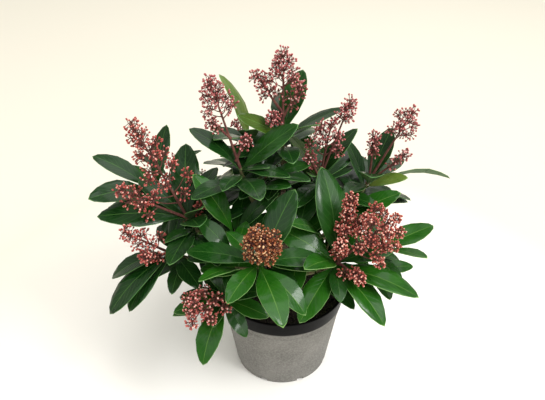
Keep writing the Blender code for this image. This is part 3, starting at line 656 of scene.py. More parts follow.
BOUGHS = (
    Bough("leader", "trunk", 1.0, "top_spray", 0.0060, 0.0030),
    Bough("upper_left_bough", "leader", 0.42, "upper_left_spray"),
    Bough("upper_right_bough", "leader", 0.30, "upper_right_spray"),
    Bough("upper_back_bough", "leader", 0.58, "upper_back_spray", 0.0038),
    Bough("left_bough", "trunk", 0.45, "left_spray", 0.0045),
    Bough("low_left_bough", "left_bough", 0.45, "low_left_spray", 0.0036),
    Bough("inner_left_bough", "left_bough", 0.30, "inner_left_spray", 0.0034),
    Bough("front_bough", "trunk", 0.25, "front_spray", 0.0044),
    Bough("low_front_bough", "front_bough", 0.34, "low_front_spray", 0.0036),
    Bough("inner_front_bough", "front_bough", 0.52, "inner_front_spray", 0.0033),
    Bough("right_bough", "trunk", 0.54, "right_front_spray", 0.0045),
    Bough("inner_right_bough", "right_bough", 0.42, "inner_right_spray", 0.0033),
    Bough("low_right_bough", "right_bough", 0.30, "low_right_spray", 0.0035),
    Bough("right_back_bough", "trunk", 0.76, "far_right_spray", 0.0044),
    Bough("low_right_back_bough", "right_back_bough", 0.36, "right_back_spray", 0.0036),
    Bough("back_bough", "trunk", 0.36, "back_spray", 0.0045),
    Bough("middle_bough", "back_bough", 0.55, "middle_spray", 0.0034),
    Bough("low_back_bough", "back_bough", 0.34, "low_back_spray", 0.0036),
    Bough("left_back_bough", "trunk", 0.70, "far_left_back_spray", 0.0044),
    Bough("high_back_bough", "left_back_bough", 0.36, "left_back_spray", 0.0036),
    Bough("far_left_bough", "left_back_bough", 0.52, "far_left_spray", 0.0035),
)


def heading(azimuth, tilt):
    """The unit vector at an azimuth from +X towards +Y and a tilt from upright."""
    a = math.radians(azimuth)
    t = math.radians(tilt)
    return Vector((math.cos(a) * math.sin(t), math.sin(a) * math.sin(t), math.cos(t)))


def square_to(axis, near):
    """The unit vector square to the axis that lies nearest to another vector."""
    across = near - axis * near.dot(axis)
    if across.length < 1e-6:
        across = axis.orthogonal()
    return across.normalized()


def hermite(start, start_pull, end, end_pull, share):
    """A point of the curve between two ends, each with the pull that it leaves or arrives with."""
    s2 = share * share
    s3 = s2 * share
    return (
        start * (2 * s3 - 3 * s2 + 1)
        + start_pull * (s3 - 2 * s2 + share)
        + end * (3 * s2 - 2 * s3)
        + end_pull * (s3 - s2)
    )


def stem_points(shoot):
    """The stem's foot, middle and whorl. It leans further out at its foot."""
    whorl = Vector(shoot.whorl)
    azimuth, tilt = shoot.lean
    middle = whorl - heading(azimuth, tilt + STEM_BEND * BEND_SHARES[0]) * (shoot.stem * 0.5)
    foot = middle - heading(azimuth, tilt + STEM_BEND * BEND_SHARES[1]) * (shoot.stem * 0.5)
    return [foot, middle, whorl]


def trunk_line():
    """The trunk's points and radii, from its flat foot on the soil to the fork."""
    foot = Vector((0, 0, SOIL_TOP + SOIL_CROWN + FIT_GAP))
    tip = Vector(TRUNK_TIP)
    flare = foot + Vector((0, 0, TRUNK_FLARE))
    height, width = FLARE_SHAPE
    points = [foot, foot + Vector((0, 0, TRUNK_FLARE * height)), flare, flare.lerp(tip, 0.5), tip]
    middle_radius = (TRUNK_RADIUS + TRUNK_TIP_RADIUS) / 2
    radii = [TRUNK_FOOT_RADIUS, TRUNK_FOOT_RADIUS * width, TRUNK_RADIUS, middle_radius, TRUNK_TIP_RADIUS]
    return points, radii


def point_along(points, share):
    """The point and direction at a share of a polyline's length."""
    lengths = [(b - a).length for a, b in zip(points, points[1:])]
    left = share * sum(lengths)
    for index, length in enumerate(lengths):
        if left <= length or index == len(lengths) - 1:
            direction = (points[index + 1] - points[index]).normalized()
            return points[index] + direction * min(left, length), direction
        left -= length
    return points[-1], direction


def bough_line(bough, lines, shoots):
    """A curve from the parent's axis to just short of the foot of the shoot's stem."""
    shoot = shoots[bough.shoot]
    foot, middle, _ = stem_points(shoot)
    into = (middle - foot).normalized()
    end = foot - into * FIT_GAP
    start, along = point_along(lines[bough.parent][0], bough.share)
    outward = square_to(along, end - start)
    span = (end - start).length
    leave, arrive = BOUGH_PULLS
    if bough.share == 1.0:
        start = start + along * FIT_GAP
        start_pull = along * span
    else:
        start_pull = (outward + along * leave).normalized() * span
    points = []
    for step in range(BOUGH_STEPS + 1):
        points.append(hermite(start, start_pull, end, into * span * arrive, step / BOUGH_STEPS))
    points[-2] = end - into * (points[-2] - end).length
    if bough.share == 1.0:
        points[1] = start + along * (points[1] - start).length
    shares = [step / BOUGH_STEPS for step in range(BOUGH_STEPS + 1)]
    radii = [bough.foot_radius + (bough.tip_radius - bough.foot_radius) * s for s in shares]
    return points, radii


def bevelled_curves(name, lines, sides):
    """One mesh of tapering limbs. Each is a smooth spline through (points, radii, steps between points)."""
    deselect_all()
    bpy.ops.curve.primitive_bezier_curve_add()
    obj = bpy.context.object
    obj.name = name
    curve = obj.data
    curve.splines.clear()
    curve.bevel_depth = 1.0
    curve.bevel_resolution = (sides - 4) // 2
    curve.use_fill_caps = True
    for points, radii, steps in lines:
        spline = curve.splines.new("BEZIER")
        spline.resolution_u = steps
        spline.bezier_points.add(len(points) - 1)
        for knot, point, radius in zip(spline.bezier_points, points, radii):
            knot.co = point
            knot.radius = radius
            knot.handle_left_type = "AUTO"
            knot.handle_right_type = "AUTO"
    bpy.ops.object.convert(target="MESH")
    obj = bpy.context.object
    edit(obj, "FACE")
    close_edit(obj)
    obj.data.name = name
    obj.data.shade_smooth()
    return obj


def bark(name, first, second, relief):
    """Matt bark: two browns in streaks along an upright limb, and a rough relief."""
    material, tree, shader = new_material(name)
    patches = mottled(tree, first, second, BARK_PATCHES, relief)
    ridges = streaky(tree, own_place(tree), BARK_RIDGES, 3.0)
    shade = tuple(part * BARK_SHADE for part in first)
    colour = mixed(tree, ranged(tree, ridges, 0.45, 0.62, 0.0, 0.55), patches["Color"], shade)
    finish(tree, shader, colour, 0.82, raised(tree, ridges, relief, 0.0008, patches["Normal"]))
    return material


def roughened(limb, relief):
    """Pushes the bark out and in by the cloudy texture."""
    apply_modifier(
        limb, "DISPLACE", texture=bark_clouds, texture_coords="LOCAL", strength=relief, mid_level=0.5
    )


shoots = {shoot.name: shoot for shoot in SHOOTS}
limb_lines = {"trunk": trunk_line()}
for bough in BOUGHS:
    limb_lines[bough.name] = bough_line(bough, limb_lines, shoots)

bark_clouds = bpy.data.textures.new("bark_clouds", "CLOUDS")
bark_clouds.noise_scale = BARK_CLOUDS
bark_material = bark("bark", BARK_BROWN, BARK_GREY, 0.5)
steps, sides = TRUNK_FINISH
trunk = bevelled_curves("trunk_bark", [(*limb_lines["trunk"], steps)], sides)
steps, sides = BOUGH_FINISH
boughs = bevelled_curves("bough_bark", [(*limb_lines[bough.name], steps) for bough in BOUGHS], sides)
for limb in (trunk, boughs):
    roughened(limb, BARK_RELIEF)
    limb.data.materials.append(bark_material)
    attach(limb, "root")
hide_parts("trunk")
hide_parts(*[bough.name for bough in BOUGHS])


# ---- The growth of the foliage ------------------------------------------------------------------
# Each bough carries one shoot: a green stem with side twigs, a whorl of leaves at its top, older
# leaves below, and on most a branched spike of buds. All grow by one seeded rule. Each new leaf is
# turned until it finds room, and it is left out where it finds none.

LEAF_SHARE_WIDTH = 0.385  # width over length
LEAF_FOLD = 0.12
LEAF_KEEL = 0.0011
PETIOLE_WIDTH = 0.0026
SET_LEAF_PROFILE = ((0.0, 0.085), (0.34, 0.78), (0.60, 1.0), (0.84, 0.60))  # (share of length, of width)
LEAF_PROFILE = ((0.0, 0.085), (0.44, 0.98), (0.76, 0.76))
BLADE_START = 0.14
LEAF_SINK = 0.0011
LEAF_ARCH = 0.07
KNOT_LENGTH = 0.0140
KNOT_RADIUS = 0.0070
KNOT_WIDEST = 0.42
KNOT_SIDES = 3
NECK_ROOM = 1.8  # a stalk shorter than this many knots has no neck
STALK_RADIUS = 0.0008
SPIKE_RADII = (0.0018, 0.0011)
SPIKE_SINK = 0.003
SPRAY_TURN = 14.0
SPRAY_REACHES = (0.80, 1.06)
SPRAY_SIZES = (0.84, 1.10)
SPRAY_RISES = (0.50, 1.35)
SPRAY_DROP = 0.75
SPRAY_TOP = 0.92
SEED = 1870
GOLDEN_ANGLE = 137.5
LEAN_SHARE = 0.6
SET_LEAF_ROOM = (26.0, 30.0)
TWIG_PLACE = 0.15
TWIG_PITCH = 0.35
TWIG_TURN = 20.0
TWIG_FORWARD = 0.75
TWIG_LENGTHS = (0.030, 0.042)
TWIG_RADII = (0.0017, 0.0013)
TWIG_SIDES = 3
TUFT_LEAVES = 4
TRUNK_SIDES = 12
BOUGH_SIDES = 5
STEM_SIDES = 5
STEM_TIP_RADIUS = 0.0020
SPACE_RADIUS = 0.125
CLEARANCE = 0.0008
TWIG_CLEARANCE = 0.0007
POT_CLEARANCE = 0.002
POT_ROOM_SIDES = 36
FILL_LEAVES = 7  # small leaves that the source leaves out, on each stem
FILL_CLEARANCE = 0.0002
SMALL_TURNS = ((0, 0), (0, 5), (0, -5), (5, 0), (-5, 0), (6, 6), (-6, 6), (0, 10), (0, -10))
WIDE_TURNS = SMALL_TURNS + ((14, 0), (-14, 0), (14, 10), (-14, 10), (0, 18), (0, -18), (22, 8), (-22, 8))
SET, WHORL, TUFT, OLD, FILLING = range(5)  # the order in which leaves look for room


def tube(points, radii, sides):
    """A closed tapering limb along the points, its ends cut square. A last radius of 0 is a point."""
    rings = []
    side = Vector((1, 0, 0))
    pointed = radii[-1] == 0
    for index, point in enumerate(points[:-1] if pointed else points):
        before = points[max(index - 1, 0)]
        after = points[min(index + 1, len(points) - 1)]
        along = (after - before).normalized()
        side = square_to(along, side)
        up = along.cross(side)
        for step in range(sides):
            turn = math.tau * step / sides
            rings.append(point + (side * math.cos(turn) + up * math.sin(turn)) * radii[index])
    faces = [tuple(reversed(range(sides)))]
    last = len(rings) - sides
    for index in range(0, last, sides):
        for step in range(sides):
            a = index + step
            b = index + (step + 1) % sides
            faces.append((a, b, b + sides, a + sides))
    if pointed:
        rings.append(points[-1])
        for step in range(sides):
            faces.append((last + step, last + (step + 1) % sides, len(rings) - 1))
    else:
        faces.append(tuple(range(last, last + sides)))
    return rings, faces


@dataclass
class Leaf:
    """A leaf by its root, its chord's azimuth and climb, its length, and its stem's axis."""

    root: Vector
    azimuth: float
    climb: float
    length: float
    axis: Vector
    is_set: bool = False
    roll: float = 0.0


def leaf_frame(leaf):
    """The chord, the blade's sideways direction and its upper normal."""
    chord = heading(leaf.azimuth, 90 - leaf.climb)
    upper = square_to(chord, leaf.axis * 0.3 + Vector((0, 0, 0.7)))
    upper = Matrix.Rotation(math.radians(leaf.roll), 3, chord) @ upper
    return chord, chord.cross(upper), upper


def leaf_shape(leaf, profile, swell=0.0):
    """A blade with a three-sided section: two edges, and the keel of the midrib below them."""
    chord, side, upper = leaf_frame(leaf)
    half = leaf.length * LEAF_SHARE_WIDTH / 2
    root = leaf.root + square_to(leaf.axis, chord) * LEAF_SINK
    points = []
    for share, width in profile:
        arch = LEAF_ARCH * 4 * share * (1 - share)
        spine = root + chord * (share * leaf.length) + upper * (arch * leaf.length)
        reach = max(half * width, PETIOLE_WIDTH / 2) + swell
        lift = upper * (LEAF_FOLD * reach + swell)
        points.append(spine + side * reach + lift)
        points.append(spine - side * reach + lift)
        points.append(spine - upper * (LEAF_KEEL + swell))
    points.append(root + chord * (leaf.length + swell))
    tip = len(points) - 1
    faces = [(0, 1, 2)]
    for ring in range(len(profile) - 1):
        a = ring * 3
        for step in range(3):
            after = (step + 1) % 3
            faces.append((a + step, a + 3 + step, a + 3 + after, a + after))
    a = tip - 3
    for step in range(3):
        faces.append((a + step, tip, a + (step + 1) % 3))
    return points, faces


def leaf_profile(leaf):
    return SET_LEAF_PROFILE if leaf.is_set else LEAF_PROFILE


def knotted(foot, tip, foot_radius, neck_radius, size):
    """A stalk that swells into a knot of buds and ends in a point. A short one has no neck."""
    length = (tip - foot).length
    knot = KNOT_LENGTH * size / length
    stations = [(0.0, foot_radius), (1 - knot, neck_radius), (1 - KNOT_WIDEST * knot, KNOT_RADIUS * size)]
    if knot > 1 / NECK_ROOM:
        stations.pop(1)
    points = [foot.lerp(tip, share) for share, _ in stations] + [tip]
    radii = [radius for _, radius in stations] + [0]
    return tube(points, radii, KNOT_SIDES)


def head_ends(shoot, head):
    """The foot and the tip of a spike."""
    foot = Vector(shoot.whorl) + heading(*shoot.heads[0].lean) * head.start
    return foot, foot + heading(*head.lean) * head.length


def head_sprays(shoot, head, chance):
    """The (foot, tip, size) of each spray, up the spike in a spiral."""
    foot, _ = head_ends(shoot, head)
    axis = heading(*head.lean)
    side = axis.orthogonal().normalized()
    sprays = []
    for index in range(head.sprays):
        share = index / max(head.sprays - 1, 1)
        turn = math.radians(GOLDEN_ANGLE * index + chance.uniform(-SPRAY_TURN, SPRAY_TURN))
        outward = Matrix.Rotation(turn, 3, axis) @ side
        reach = head.reach * (1 - head.taper * share) * chance.uniform(*SPRAY_REACHES)
        rise = reach * (SPRAY_RISES[0] + (SPRAY_RISES[1] - SPRAY_RISES[0]) * share)
        along = head.length * (head.bare + (SPRAY_TOP - head.bare) * share)
        start = foot + axis * (along - rise * SPRAY_DROP)
        sprays.append((start, start + outward * reach + axis * rise, chance.uniform(*SPRAY_SIZES)))
    return sprays


def angle_between(first, second):
    """The unsigned difference of two azimuths."""
    return abs((first - second + 180) % 360 - 180)


def lean_towards(shoot, azimuth):
    """The part of the shoot's tilt, in degrees, that lies towards an azimuth."""
    return math.cos(math.radians(azimuth - shoot.lean[0])) * shoot.lean[1]


def spiral(count, chance):
    """The number and the azimuth of each leaf, a golden angle on from the last."""
    turn = chance.uniform(0, 360)
    for index in range(count):
        turn += GOLDEN_ANGLE
        yield index, turn % 360


def near_set_leaf(azimuth, climb, set_leaf):
    across, up = SET_LEAF_ROOM
    return angle_between(azimuth, set_leaf[0]) < across and abs(climb - set_leaf[1]) < up


@dataclass
class Row:
    """How the leaves of one row point, how long they are and how they follow each other down."""

    climb: float
    climb_step: float
    climb_spread: float
    lengths: tuple  # over the mass's own leaf length
    place: float
    pitch: float
    steepest: float = 90.0


WHORL_ROW = Row(28.0, 4.0, 6.0, (0.88, 1.10), 0.0013, 0.0026, 38.0)  # places in metres
TUFT_ROW = Row(30.0, 7.0, 6.0, (0.68, 0.86), 0.0010, 0.0018)
OLD_ROW = Row(12.0, 0.0, 8.0, (0.82, 1.00), 0.10, 0.14)  # places as shares of the stem
FILL_ROW = Row(24.0, 6.0, 6.0, (0.50, 0.80), 0.04, 0.12, 38.0)


def leaf_row(shoot, row, count, chance, axis, root_at, lean_share, set_leaves=()):
    """One row of leaves in a spiral. None grows where a set leaf already points."""
    leaves = []
    for index, around in spiral(count, chance):
        climb = row.climb - row.climb_step * index
        climb += chance.uniform(-row.climb_spread, row.climb_spread)
        climb = min(climb - lean_towards(shoot, around) * lean_share, row.steepest)
        if any(near_set_leaf(around, climb, leaf) for leaf in set_leaves):
            continue
        length = shoot.leaf_length * chance.uniform(*row.lengths)
        leaves.append(Leaf(root_at(row.place + row.pitch * index), around, climb, length, axis))
    return leaves


def stem_leaves(shoot, row, count, chance, start):
    """A row of leaves down the stem from a start on it."""
    foot = stem_points(shoot)[0]
    axis = heading(*shoot.lean)
    return leaf_row(shoot, row, count, chance, axis, lambda share: start.lerp(foot, share), LEAN_SHARE)


def whorl_leaves(shoot, chance):
    """Set leaves, then leaves in a spiral between them."""
    whorl = Vector(shoot.whorl)
    axis = heading(*shoot.lean)
    leaves = []
    for index, (azimuth, climb, length, *roll) in enumerate(shoot.set_leaves):
        root = whorl - axis * (WHORL_ROW.pitch * index)
        leaves.append(Leaf(root, azimuth, climb, length, axis, True, *roll))
    return leaves + leaf_row(
        shoot, WHORL_ROW, shoot.leaves, chance, axis, lambda down: whorl - axis * down, LEAN_SHARE,
        shoot.set_leaves,
    )


def twig_shoots(shoot, chance):
    """Each side twig's two ends, and the tuft of leaves on its tip."""
    foot, middle, _ = stem_points(shoot)
    axis = heading(*shoot.lean)
    side = axis.orthogonal().normalized()
    turn = chance.uniform(0, 360)
    twigs = []
    for index in range(shoot.twigs):
        turn += GOLDEN_ANGLE + chance.uniform(-TWIG_TURN, TWIG_TURN)
        outward = Matrix.Rotation(math.radians(turn), 3, axis) @ side
        direction = (axis * TWIG_FORWARD + outward).normalized()
        start = middle.lerp(foot, TWIG_PLACE + TWIG_PITCH * index)
        tip = start + direction * chance.uniform(*TWIG_LENGTHS)
        tuft = leaf_row(
            shoot, TUFT_ROW, TUFT_LEAVES, chance, direction, lambda down: tip - direction * down, 0.0
        )
        twigs.append((start, tip, tuft))
    return twigs


class Room:
    """All that stands in the crown, so that a new leaf or twig can be tried against it."""

    def __init__(self):
        self.standing = []

    def add(self, owner, shape, outer=None):
        """The outer shape is what leaves of the same mass keep clear of."""
        self.standing.append((owner, tree_of(shape), tree_of(outer or shape), ball_of(shape)))

    def free(self, owner, swollen, outer):
        """Whether a leaf is clear of other masses, and its outer blade of its own mass."""
        centre, radius = ball_of(swollen)
        whole = tree_of(swollen)
        blade = tree_of(outer)
        for other, other_whole, other_outer, (there, reach) in self.standing:
            if (centre - there).length > radius + reach:
                continue
            if other != owner and whole.overlap(other_whole):
                return False
            if other == owner and blade.overlap(other_outer):
                return False
        return True


def tree_of(shape):
    """A search tree of the shape. A bent four-sided face is taken along both of its diagonals."""
    points, faces = shape
    triangles = []
    for face in faces:
        first = face[0]
        triangles += [(first, b, c) for b, c in zip(face[1:], face[2:])]
        if len(face) == 4:
            triangles += [face[:2] + face[3:], face[1:]]
    return BVHTree.FromPolygons(points, triangles)


def ball_of(shape):
    points = shape[0]
    centre = sum(points, Vector()) / len(points)
    return centre, max((p - centre).length for p in points)


def outer_blade(leaf):
    """The blade without its root, which may stand among its neighbours' roots."""
    root, first, *rest = leaf_profile(leaf)
    width = root[1] + (first[1] - root[1]) * BLADE_START / first[0]
    return leaf_shape(leaf, [(BLADE_START, width), first, *rest])


def try_leaf(room, owner, leaf, whorl, turns, clearance):
    """The leaf at the first turn that finds room, or None."""
    for turn, lift in turns:
        tried = replace(leaf, azimuth=leaf.azimuth + turn, climb=leaf.climb + lift)
        swollen = leaf_shape(tried, leaf_profile(tried), clearance)
        if (swollen[0][-1] - whorl).length > SPACE_RADIUS:
            continue
        outer = outer_blade(tried)
        if room.free(owner, swollen, outer):
            room.add(owner, leaf_shape(tried, leaf_profile(tried)), outer)
            return tried
    return None


def stem_radii(shoot):
    """At the stem's foot, middle and whorl. Its foot is as thick as its bough's tip."""
    foot_radius = next(bough.tip_radius for bough in BOUGHS if bough.shoot == shoot.name)
    return [foot_radius, (foot_radius + STEM_TIP_RADIUS) / 2, STEM_TIP_RADIUS]


def free_of_others(room, owner, shape):
    """Whether a twig or a knot of buds keeps clear of every other solid."""
    tree = tree_of(shape)
    return all(other == owner or not tree.overlap(whole) for other, whole, _, _ in room.standing)


@dataclass
class Growth:
    """Leaves and side twigs with their shoots, and flower stalks with their knots' sizes."""

    leaves: list
    twigs: list
    stalks: list


def grown_shoots(room):
    """Stems and flower heads stand first, then set leaves, whorls, twigs, old leaves and filling leaves."""
    grown = Growth([], [], [])
    chances = {shoot.name: random.Random(SEED + index) for index, shoot in enumerate(SHOOTS)}
    for shoot in SHOOTS:
        room.add(shoot.name, tube(stem_points(shoot), stem_radii(shoot), STEM_SIDES))
    for shoot in SHOOTS:
        for head in shoot.heads:
            foot, tip = head_ends(shoot, head)
            sunk = foot - (tip - foot).normalized() * SPIKE_SINK
            stalks = [(sunk, tip, 1.0, True)]
            stalks += [(*spray, False) for spray in head_sprays(shoot, head, chances[shoot.name])]
            for start, end, size, is_spike in stalks:
                radii = SPIKE_RADII if is_spike else (STALK_RADIUS, STALK_RADIUS)
                shape = knotted(start, end, *radii, size)
                if free_of_others(room, shoot.name, shape):
                    room.add(shoot.name, shape)
                    grown.stalks.append((shoot, head, start, end, size, is_spike))
    waiting = []
    for shoot in SHOOTS:
        for order, leaf in enumerate(whorl_leaves(shoot, chances[shoot.name])):
            rank, turns = (SET, SMALL_TURNS) if leaf.is_set else (WHORL, WIDE_TURNS)
            waiting.append((rank, shoot, leaf, turns, order))
    for shoot in SHOOTS:
        for start, tip, tuft in twig_shoots(shoot, chances[shoot.name]):
            twig = tube([start, tip], TWIG_RADII, TWIG_SIDES)
            swollen = tube([start, tip], [radius + TWIG_CLEARANCE for radius in TWIG_RADII], TWIG_SIDES)
            if free_of_others(room, shoot.name, swollen):
                room.add(shoot.name, twig)
                grown.twigs.append((shoot, start, tip))
                waiting += [(TUFT, shoot, leaf, WIDE_TURNS, -1) for leaf in tuft]
    for shoot in SHOOTS:
        middle = stem_points(shoot)[1]
        old = stem_leaves(shoot, OLD_ROW, shoot.old_leaves, chances[shoot.name], middle)
        waiting += [(OLD, shoot, leaf, WIDE_TURNS, -1) for leaf in old]
    for index, shoot in enumerate(SHOOTS):
        chance = random.Random(SEED * 2 + index)
        filling = stem_leaves(shoot, FILL_ROW, FILL_LEAVES, chance, Vector(shoot.whorl))
        waiting += [(FILLING, shoot, leaf, WIDE_TURNS, -1) for leaf in filling]
    waiting.sort(key=lambda item: item[0])
    for rank, shoot, leaf, turns, order in waiting:
        clearance = FILL_CLEARANCE if rank == FILLING else CLEARANCE
        placed = try_leaf(room, shoot.name, leaf, Vector(shoot.whorl), turns, clearance)
        if placed:
            grown.leaves.append((shoot, placed, order if leaf.is_set else -1))
    return grown


room = Room()
pot_room = [Vector(), Vector((0, 0, POT_HEIGHT + POT_CLEARANCE))]
room.add("pot", tube(pot_room, [RIM_RADIUS + POT_CLEARANCE] * 2, POT_ROOM_SIDES))
room.add("trunk", tube(*limb_lines["trunk"], TRUNK_SIDES))
for bough in BOUGHS:
    room.add(bough.name, tube(*limb_lines[bough.name], BOUGH_SIDES))
growth = grown_shoots(room)
masses = [shoot.name for shoot in SHOOTS]


# ---- The leaves ---------------------------------------------------------------------------------
# Leathery oval leaves with a glossy green upper side, a paler matt underside, a pale midrib and a thin
# pale margin. The newest are yellow-green. One leaf is shaped from a grid, thickened, and then bent,
# folded, twisted and waved afresh for each leaf that has grown.

LEAF_COLUMNS = (-1.0, -0.52, -0.030, 0.030, 0.52, 1.0)
LEAF_OUTLINE = (
    (0.00, 0.085), (0.09, 0.13), (0.20, 0.45), (0.35, 0.81), (0.52, 1.00), (0.69, 0.93), (0.84, 0.67),
    (0.95, 0.34), (1.00, 0.0),
)  # (share of length, of width)
UPPER_SHARE = 0.975  # of the width and length, so that the pale edge shows from above
LEAF_THICKNESS = 0.0006
LEAF_BENDS = (0.045, 0.105)  # rise of the midrib's middle, over the length
LEAF_PEAKS = (0.80, 1.25)
LEAF_TWIST = 11.0
LEAF_WAVE = 0.016
WAVE_SHARES = (0.2, 1.0)
LEAF_RIPPLES = 9
FOLD_SHARES = (0.6, 2.1)
FOLD_EASE = (1.2, 0.6)  # the fold at the midrib, and how much of it is lost at the margin
KEEL_TAPER = 0.75
PATTERN_DEPTH = 0.1  # stands for the thickness until the leaf is shaped
RIB_PLACE = 0.05
TIP_START = 0.92  # past it a leaf may be narrower than its stalk
LEAF_GREENS = {
    "deep": ((0.004, 0.027, 0.004), (0.008, 0.041, 0.005)),
    "mid": ((0.006, 0.040, 0.004), (0.011, 0.060, 0.005)),
    "vivid": ((0.009, 0.066, 0.003), (0.017, 0.096, 0.005)),
    "fresh": ((0.030, 0.072, 0.005), (0.055, 0.100, 0.009)),
    "young": ((0.075, 0.140, 0.016), (0.125, 0.185, 0.028)),
}
PALE_GREENS = {
    "dark": ((0.050, 0.145, 0.034), (0.085, 0.190, 0.048)),
    "light": ((0.130, 0.270, 0.070), (0.180, 0.320, 0.100)),
}  # of margins
RIB_GREENS = {
    "dark": ((0.028, 0.095, 0.014), (0.045, 0.125, 0.020)),
    "light": ((0.058, 0.155, 0.018), (0.088, 0.195, 0.030)),
}
UNDERSIDE_GREENS = ((0.070, 0.150, 0.042), (0.100, 0.190, 0.060))
VEINS = 10.0
VEIN_SLANT = 0.55
VEIN_SHARE = 0.22
LEAF_CLOUDS = 55.0
PLAIN_CLOUDS = 70.0
WAX = {"Specular IOR Level": 0.12, "Coat Weight": 0.30, "Coat Roughness": 0.11}
SMOOTHED_ANGLE = math.radians(60)


def leaf_pattern():
    """The leaf as (across, along, depth) with unit sides, its faces, and a material number for each."""
    deselect_all()
    bpy.ops.mesh.primitive_grid_add(
        x_subdivisions=len(LEAF_COLUMNS) - 1, y_subdivisions=len(LEAF_OUTLINE) - 1, size=2
    )
    obj = bpy.context.object
    across = sorted({round(v.co.x, 4) for v in obj.data.vertices})
    along = sorted({round(v.co.y, 4) for v in obj.data.vertices})
    for vertex in obj.data.vertices:
        column = across.index(round(vertex.co.x, 4))
        row = along.index(round(vertex.co.y, 4))
        vertex.co = (LEAF_COLUMNS[column], LEAF_OUTLINE[row][0], 0)
    edit(obj, "VERT")
    bpy.ops.object.mode_set(mode="OBJECT")
    for vertex in obj.data.vertices:
        vertex.select = vertex.co.y > 0.999
    bpy.ops.object.mode_set(mode="EDIT")
    bpy.ops.mesh.merge(type="CENTER")
    close_edit(obj)
    if obj.data.polygons[0].normal.z < 0:
        obj.data.flip_normals()
    apply_modifier(obj, "SOLIDIFY", thickness=PATTERN_DEPTH, offset=-1.0)
    edit(obj, "EDGE")
    bpy.ops.object.mode_set(mode="OBJECT")
    for edge in obj.data.edges:
        ends = [obj.data.vertices[index].co for index in edge.vertices]
        edge.select = all(end.z < -PATTERN_DEPTH / 2 and 0.1 < abs(end.x) < 0.9 for end in ends)
    bpy.ops.object.mode_set(mode="EDIT")
    bpy.ops.mesh.dissolve_edges(use_verts=False)
    close_edit(obj)
    points, faces, _ = pattern_of(obj)
    points[:, 2] = np.where(points[:, 2] < -PATTERN_DEPTH / 2, -1.0, 0.0)
    slots = []
    for face in faces:
        side = abs(points[list(face), 0].mean())
        depth = points[list(face), 2].mean()
        if -0.9 < depth < -0.1:
            slots.append(1)
        elif side < RIB_PLACE:
            slots.append(2)
        else:
            slots.append(3 if depth < -0.5 else 0)
    return points, faces, np.array(slots)


def leaf_points(leaf, pattern, chance):
    """The pattern bent to one leaf's place, with its own arch, twist and waving margin."""
    chord, side, upper = (np.array(v) for v in leaf_frame(leaf))
    across, along, depth = pattern.T
    is_upper = depth > -0.5
    across = np.where(is_upper & (np.abs(across) > 0.9), across * UPPER_SHARE, across)
    along = np.where(is_upper & (along > 0.99), (1 + UPPER_SHARE) / 2, along)
    root = np.array(leaf.root + square_to(leaf.axis, Vector(chord)) * LEAF_SINK)
    widths = np.interp(along, [s for s, _ in LEAF_OUTLINE], [w for _, w in LEAF_OUTLINE])
    half = leaf.length * LEAF_SHARE_WIDTH / 2
    reach = np.where(along > TIP_START, half * widths, np.maximum(half * widths, PETIOLE_WIDTH / 2))
    bend = chance.uniform(*LEAF_BENDS)
    peak = chance.uniform(*LEAF_PEAKS)
    arch = bend * np.sin(math.pi * along ** peak) * leaf.length
    twist = math.radians(chance.uniform(-LEAF_TWIST, LEAF_TWIST)) * along
    phase = chance.uniform(0, math.tau)
    ripples = np.sin(along * LEAF_RIPPLES + phase + np.sign(across))
    wave = LEAF_WAVE * chance.uniform(*WAVE_SHARES) * leaf.length * ripples * across ** 2
    fold = LEAF_FOLD * chance.uniform(*FOLD_SHARES)
    offset = across * reach
    lift = fold * np.abs(offset) * (FOLD_EASE[0] - FOLD_EASE[1] * np.abs(across)) + wave * widths
    keel = LEAF_KEEL * (1 - KEEL_TAPER * along) * (np.abs(across) < RIB_PLACE) * (depth < -0.5)
    lift = lift + depth * LEAF_THICKNESS - keel
    turned_side = np.outer(np.cos(twist), side) + np.outer(np.sin(twist), upper)
    turned_up = np.outer(np.cos(twist), upper) - np.outer(np.sin(twist), side)
    spine = root + np.outer(along * leaf.length, chord) + np.outer(arch, upper)
    return spine + turned_side * offset[:, None] + turned_up * lift[:, None]


def vein_group():
    """Faint side veins that run forward from the midrib, by the leaf's own (across, along) map."""
    group, given, out = effect_group(
        "Leaf veins", {"Count": ("NodeSocketFloat", VEINS)}, {"Mask": "NodeSocketFloat"}
    )
    uv = add_node(group, "ShaderNodeUVMap", {"uv_map": "blade"})
    parts = add_node(group, "ShaderNodeSeparateXYZ", Vector=uv.outputs["UV"])
    outward = reckoned(group, "ABSOLUTE", reckoned(group, "SUBTRACT", parts.outputs["X"], 0.5))
    forward = reckoned(group, "MULTIPLY_ADD", outward, -VEIN_SLANT, parts.outputs["Y"])
    counted = reckoned(group, "MULTIPLY", forward, given.outputs["Count"])
    saw = reckoned(group, "PINGPONG", counted, 0.5)
    group.links.new(ranged(group, saw, 0.40, 0.50), out.inputs["Mask"])
    return group


veins = vein_group()


def leaf_blade(name, first, second, pale):
    """Waxy green: mottled, with faint paler veins that are pressed into it."""
    material, tree, shader = new_material(name)
    green = mottled(tree, first, second, LEAF_CLOUDS, 0.04)
    lines = tree.nodes.new("ShaderNodeGroup")
    lines.node_tree = veins
    mask = lines.outputs["Mask"]
    colour = mixed(tree, reckoned(tree, "MULTIPLY", mask, VEIN_SHARE), green["Color"], pale)
    roughness = ranged(tree, green["Mask"], 0.0, 1.0, 0.26, 0.40)
    finish(tree, shader, colour, roughness, raised(tree, mask, 0.25, 0.0006, green["Normal"], invert=True))
    for socket, value in WAX.items():
        shader.inputs[socket].default_value = value
    return material


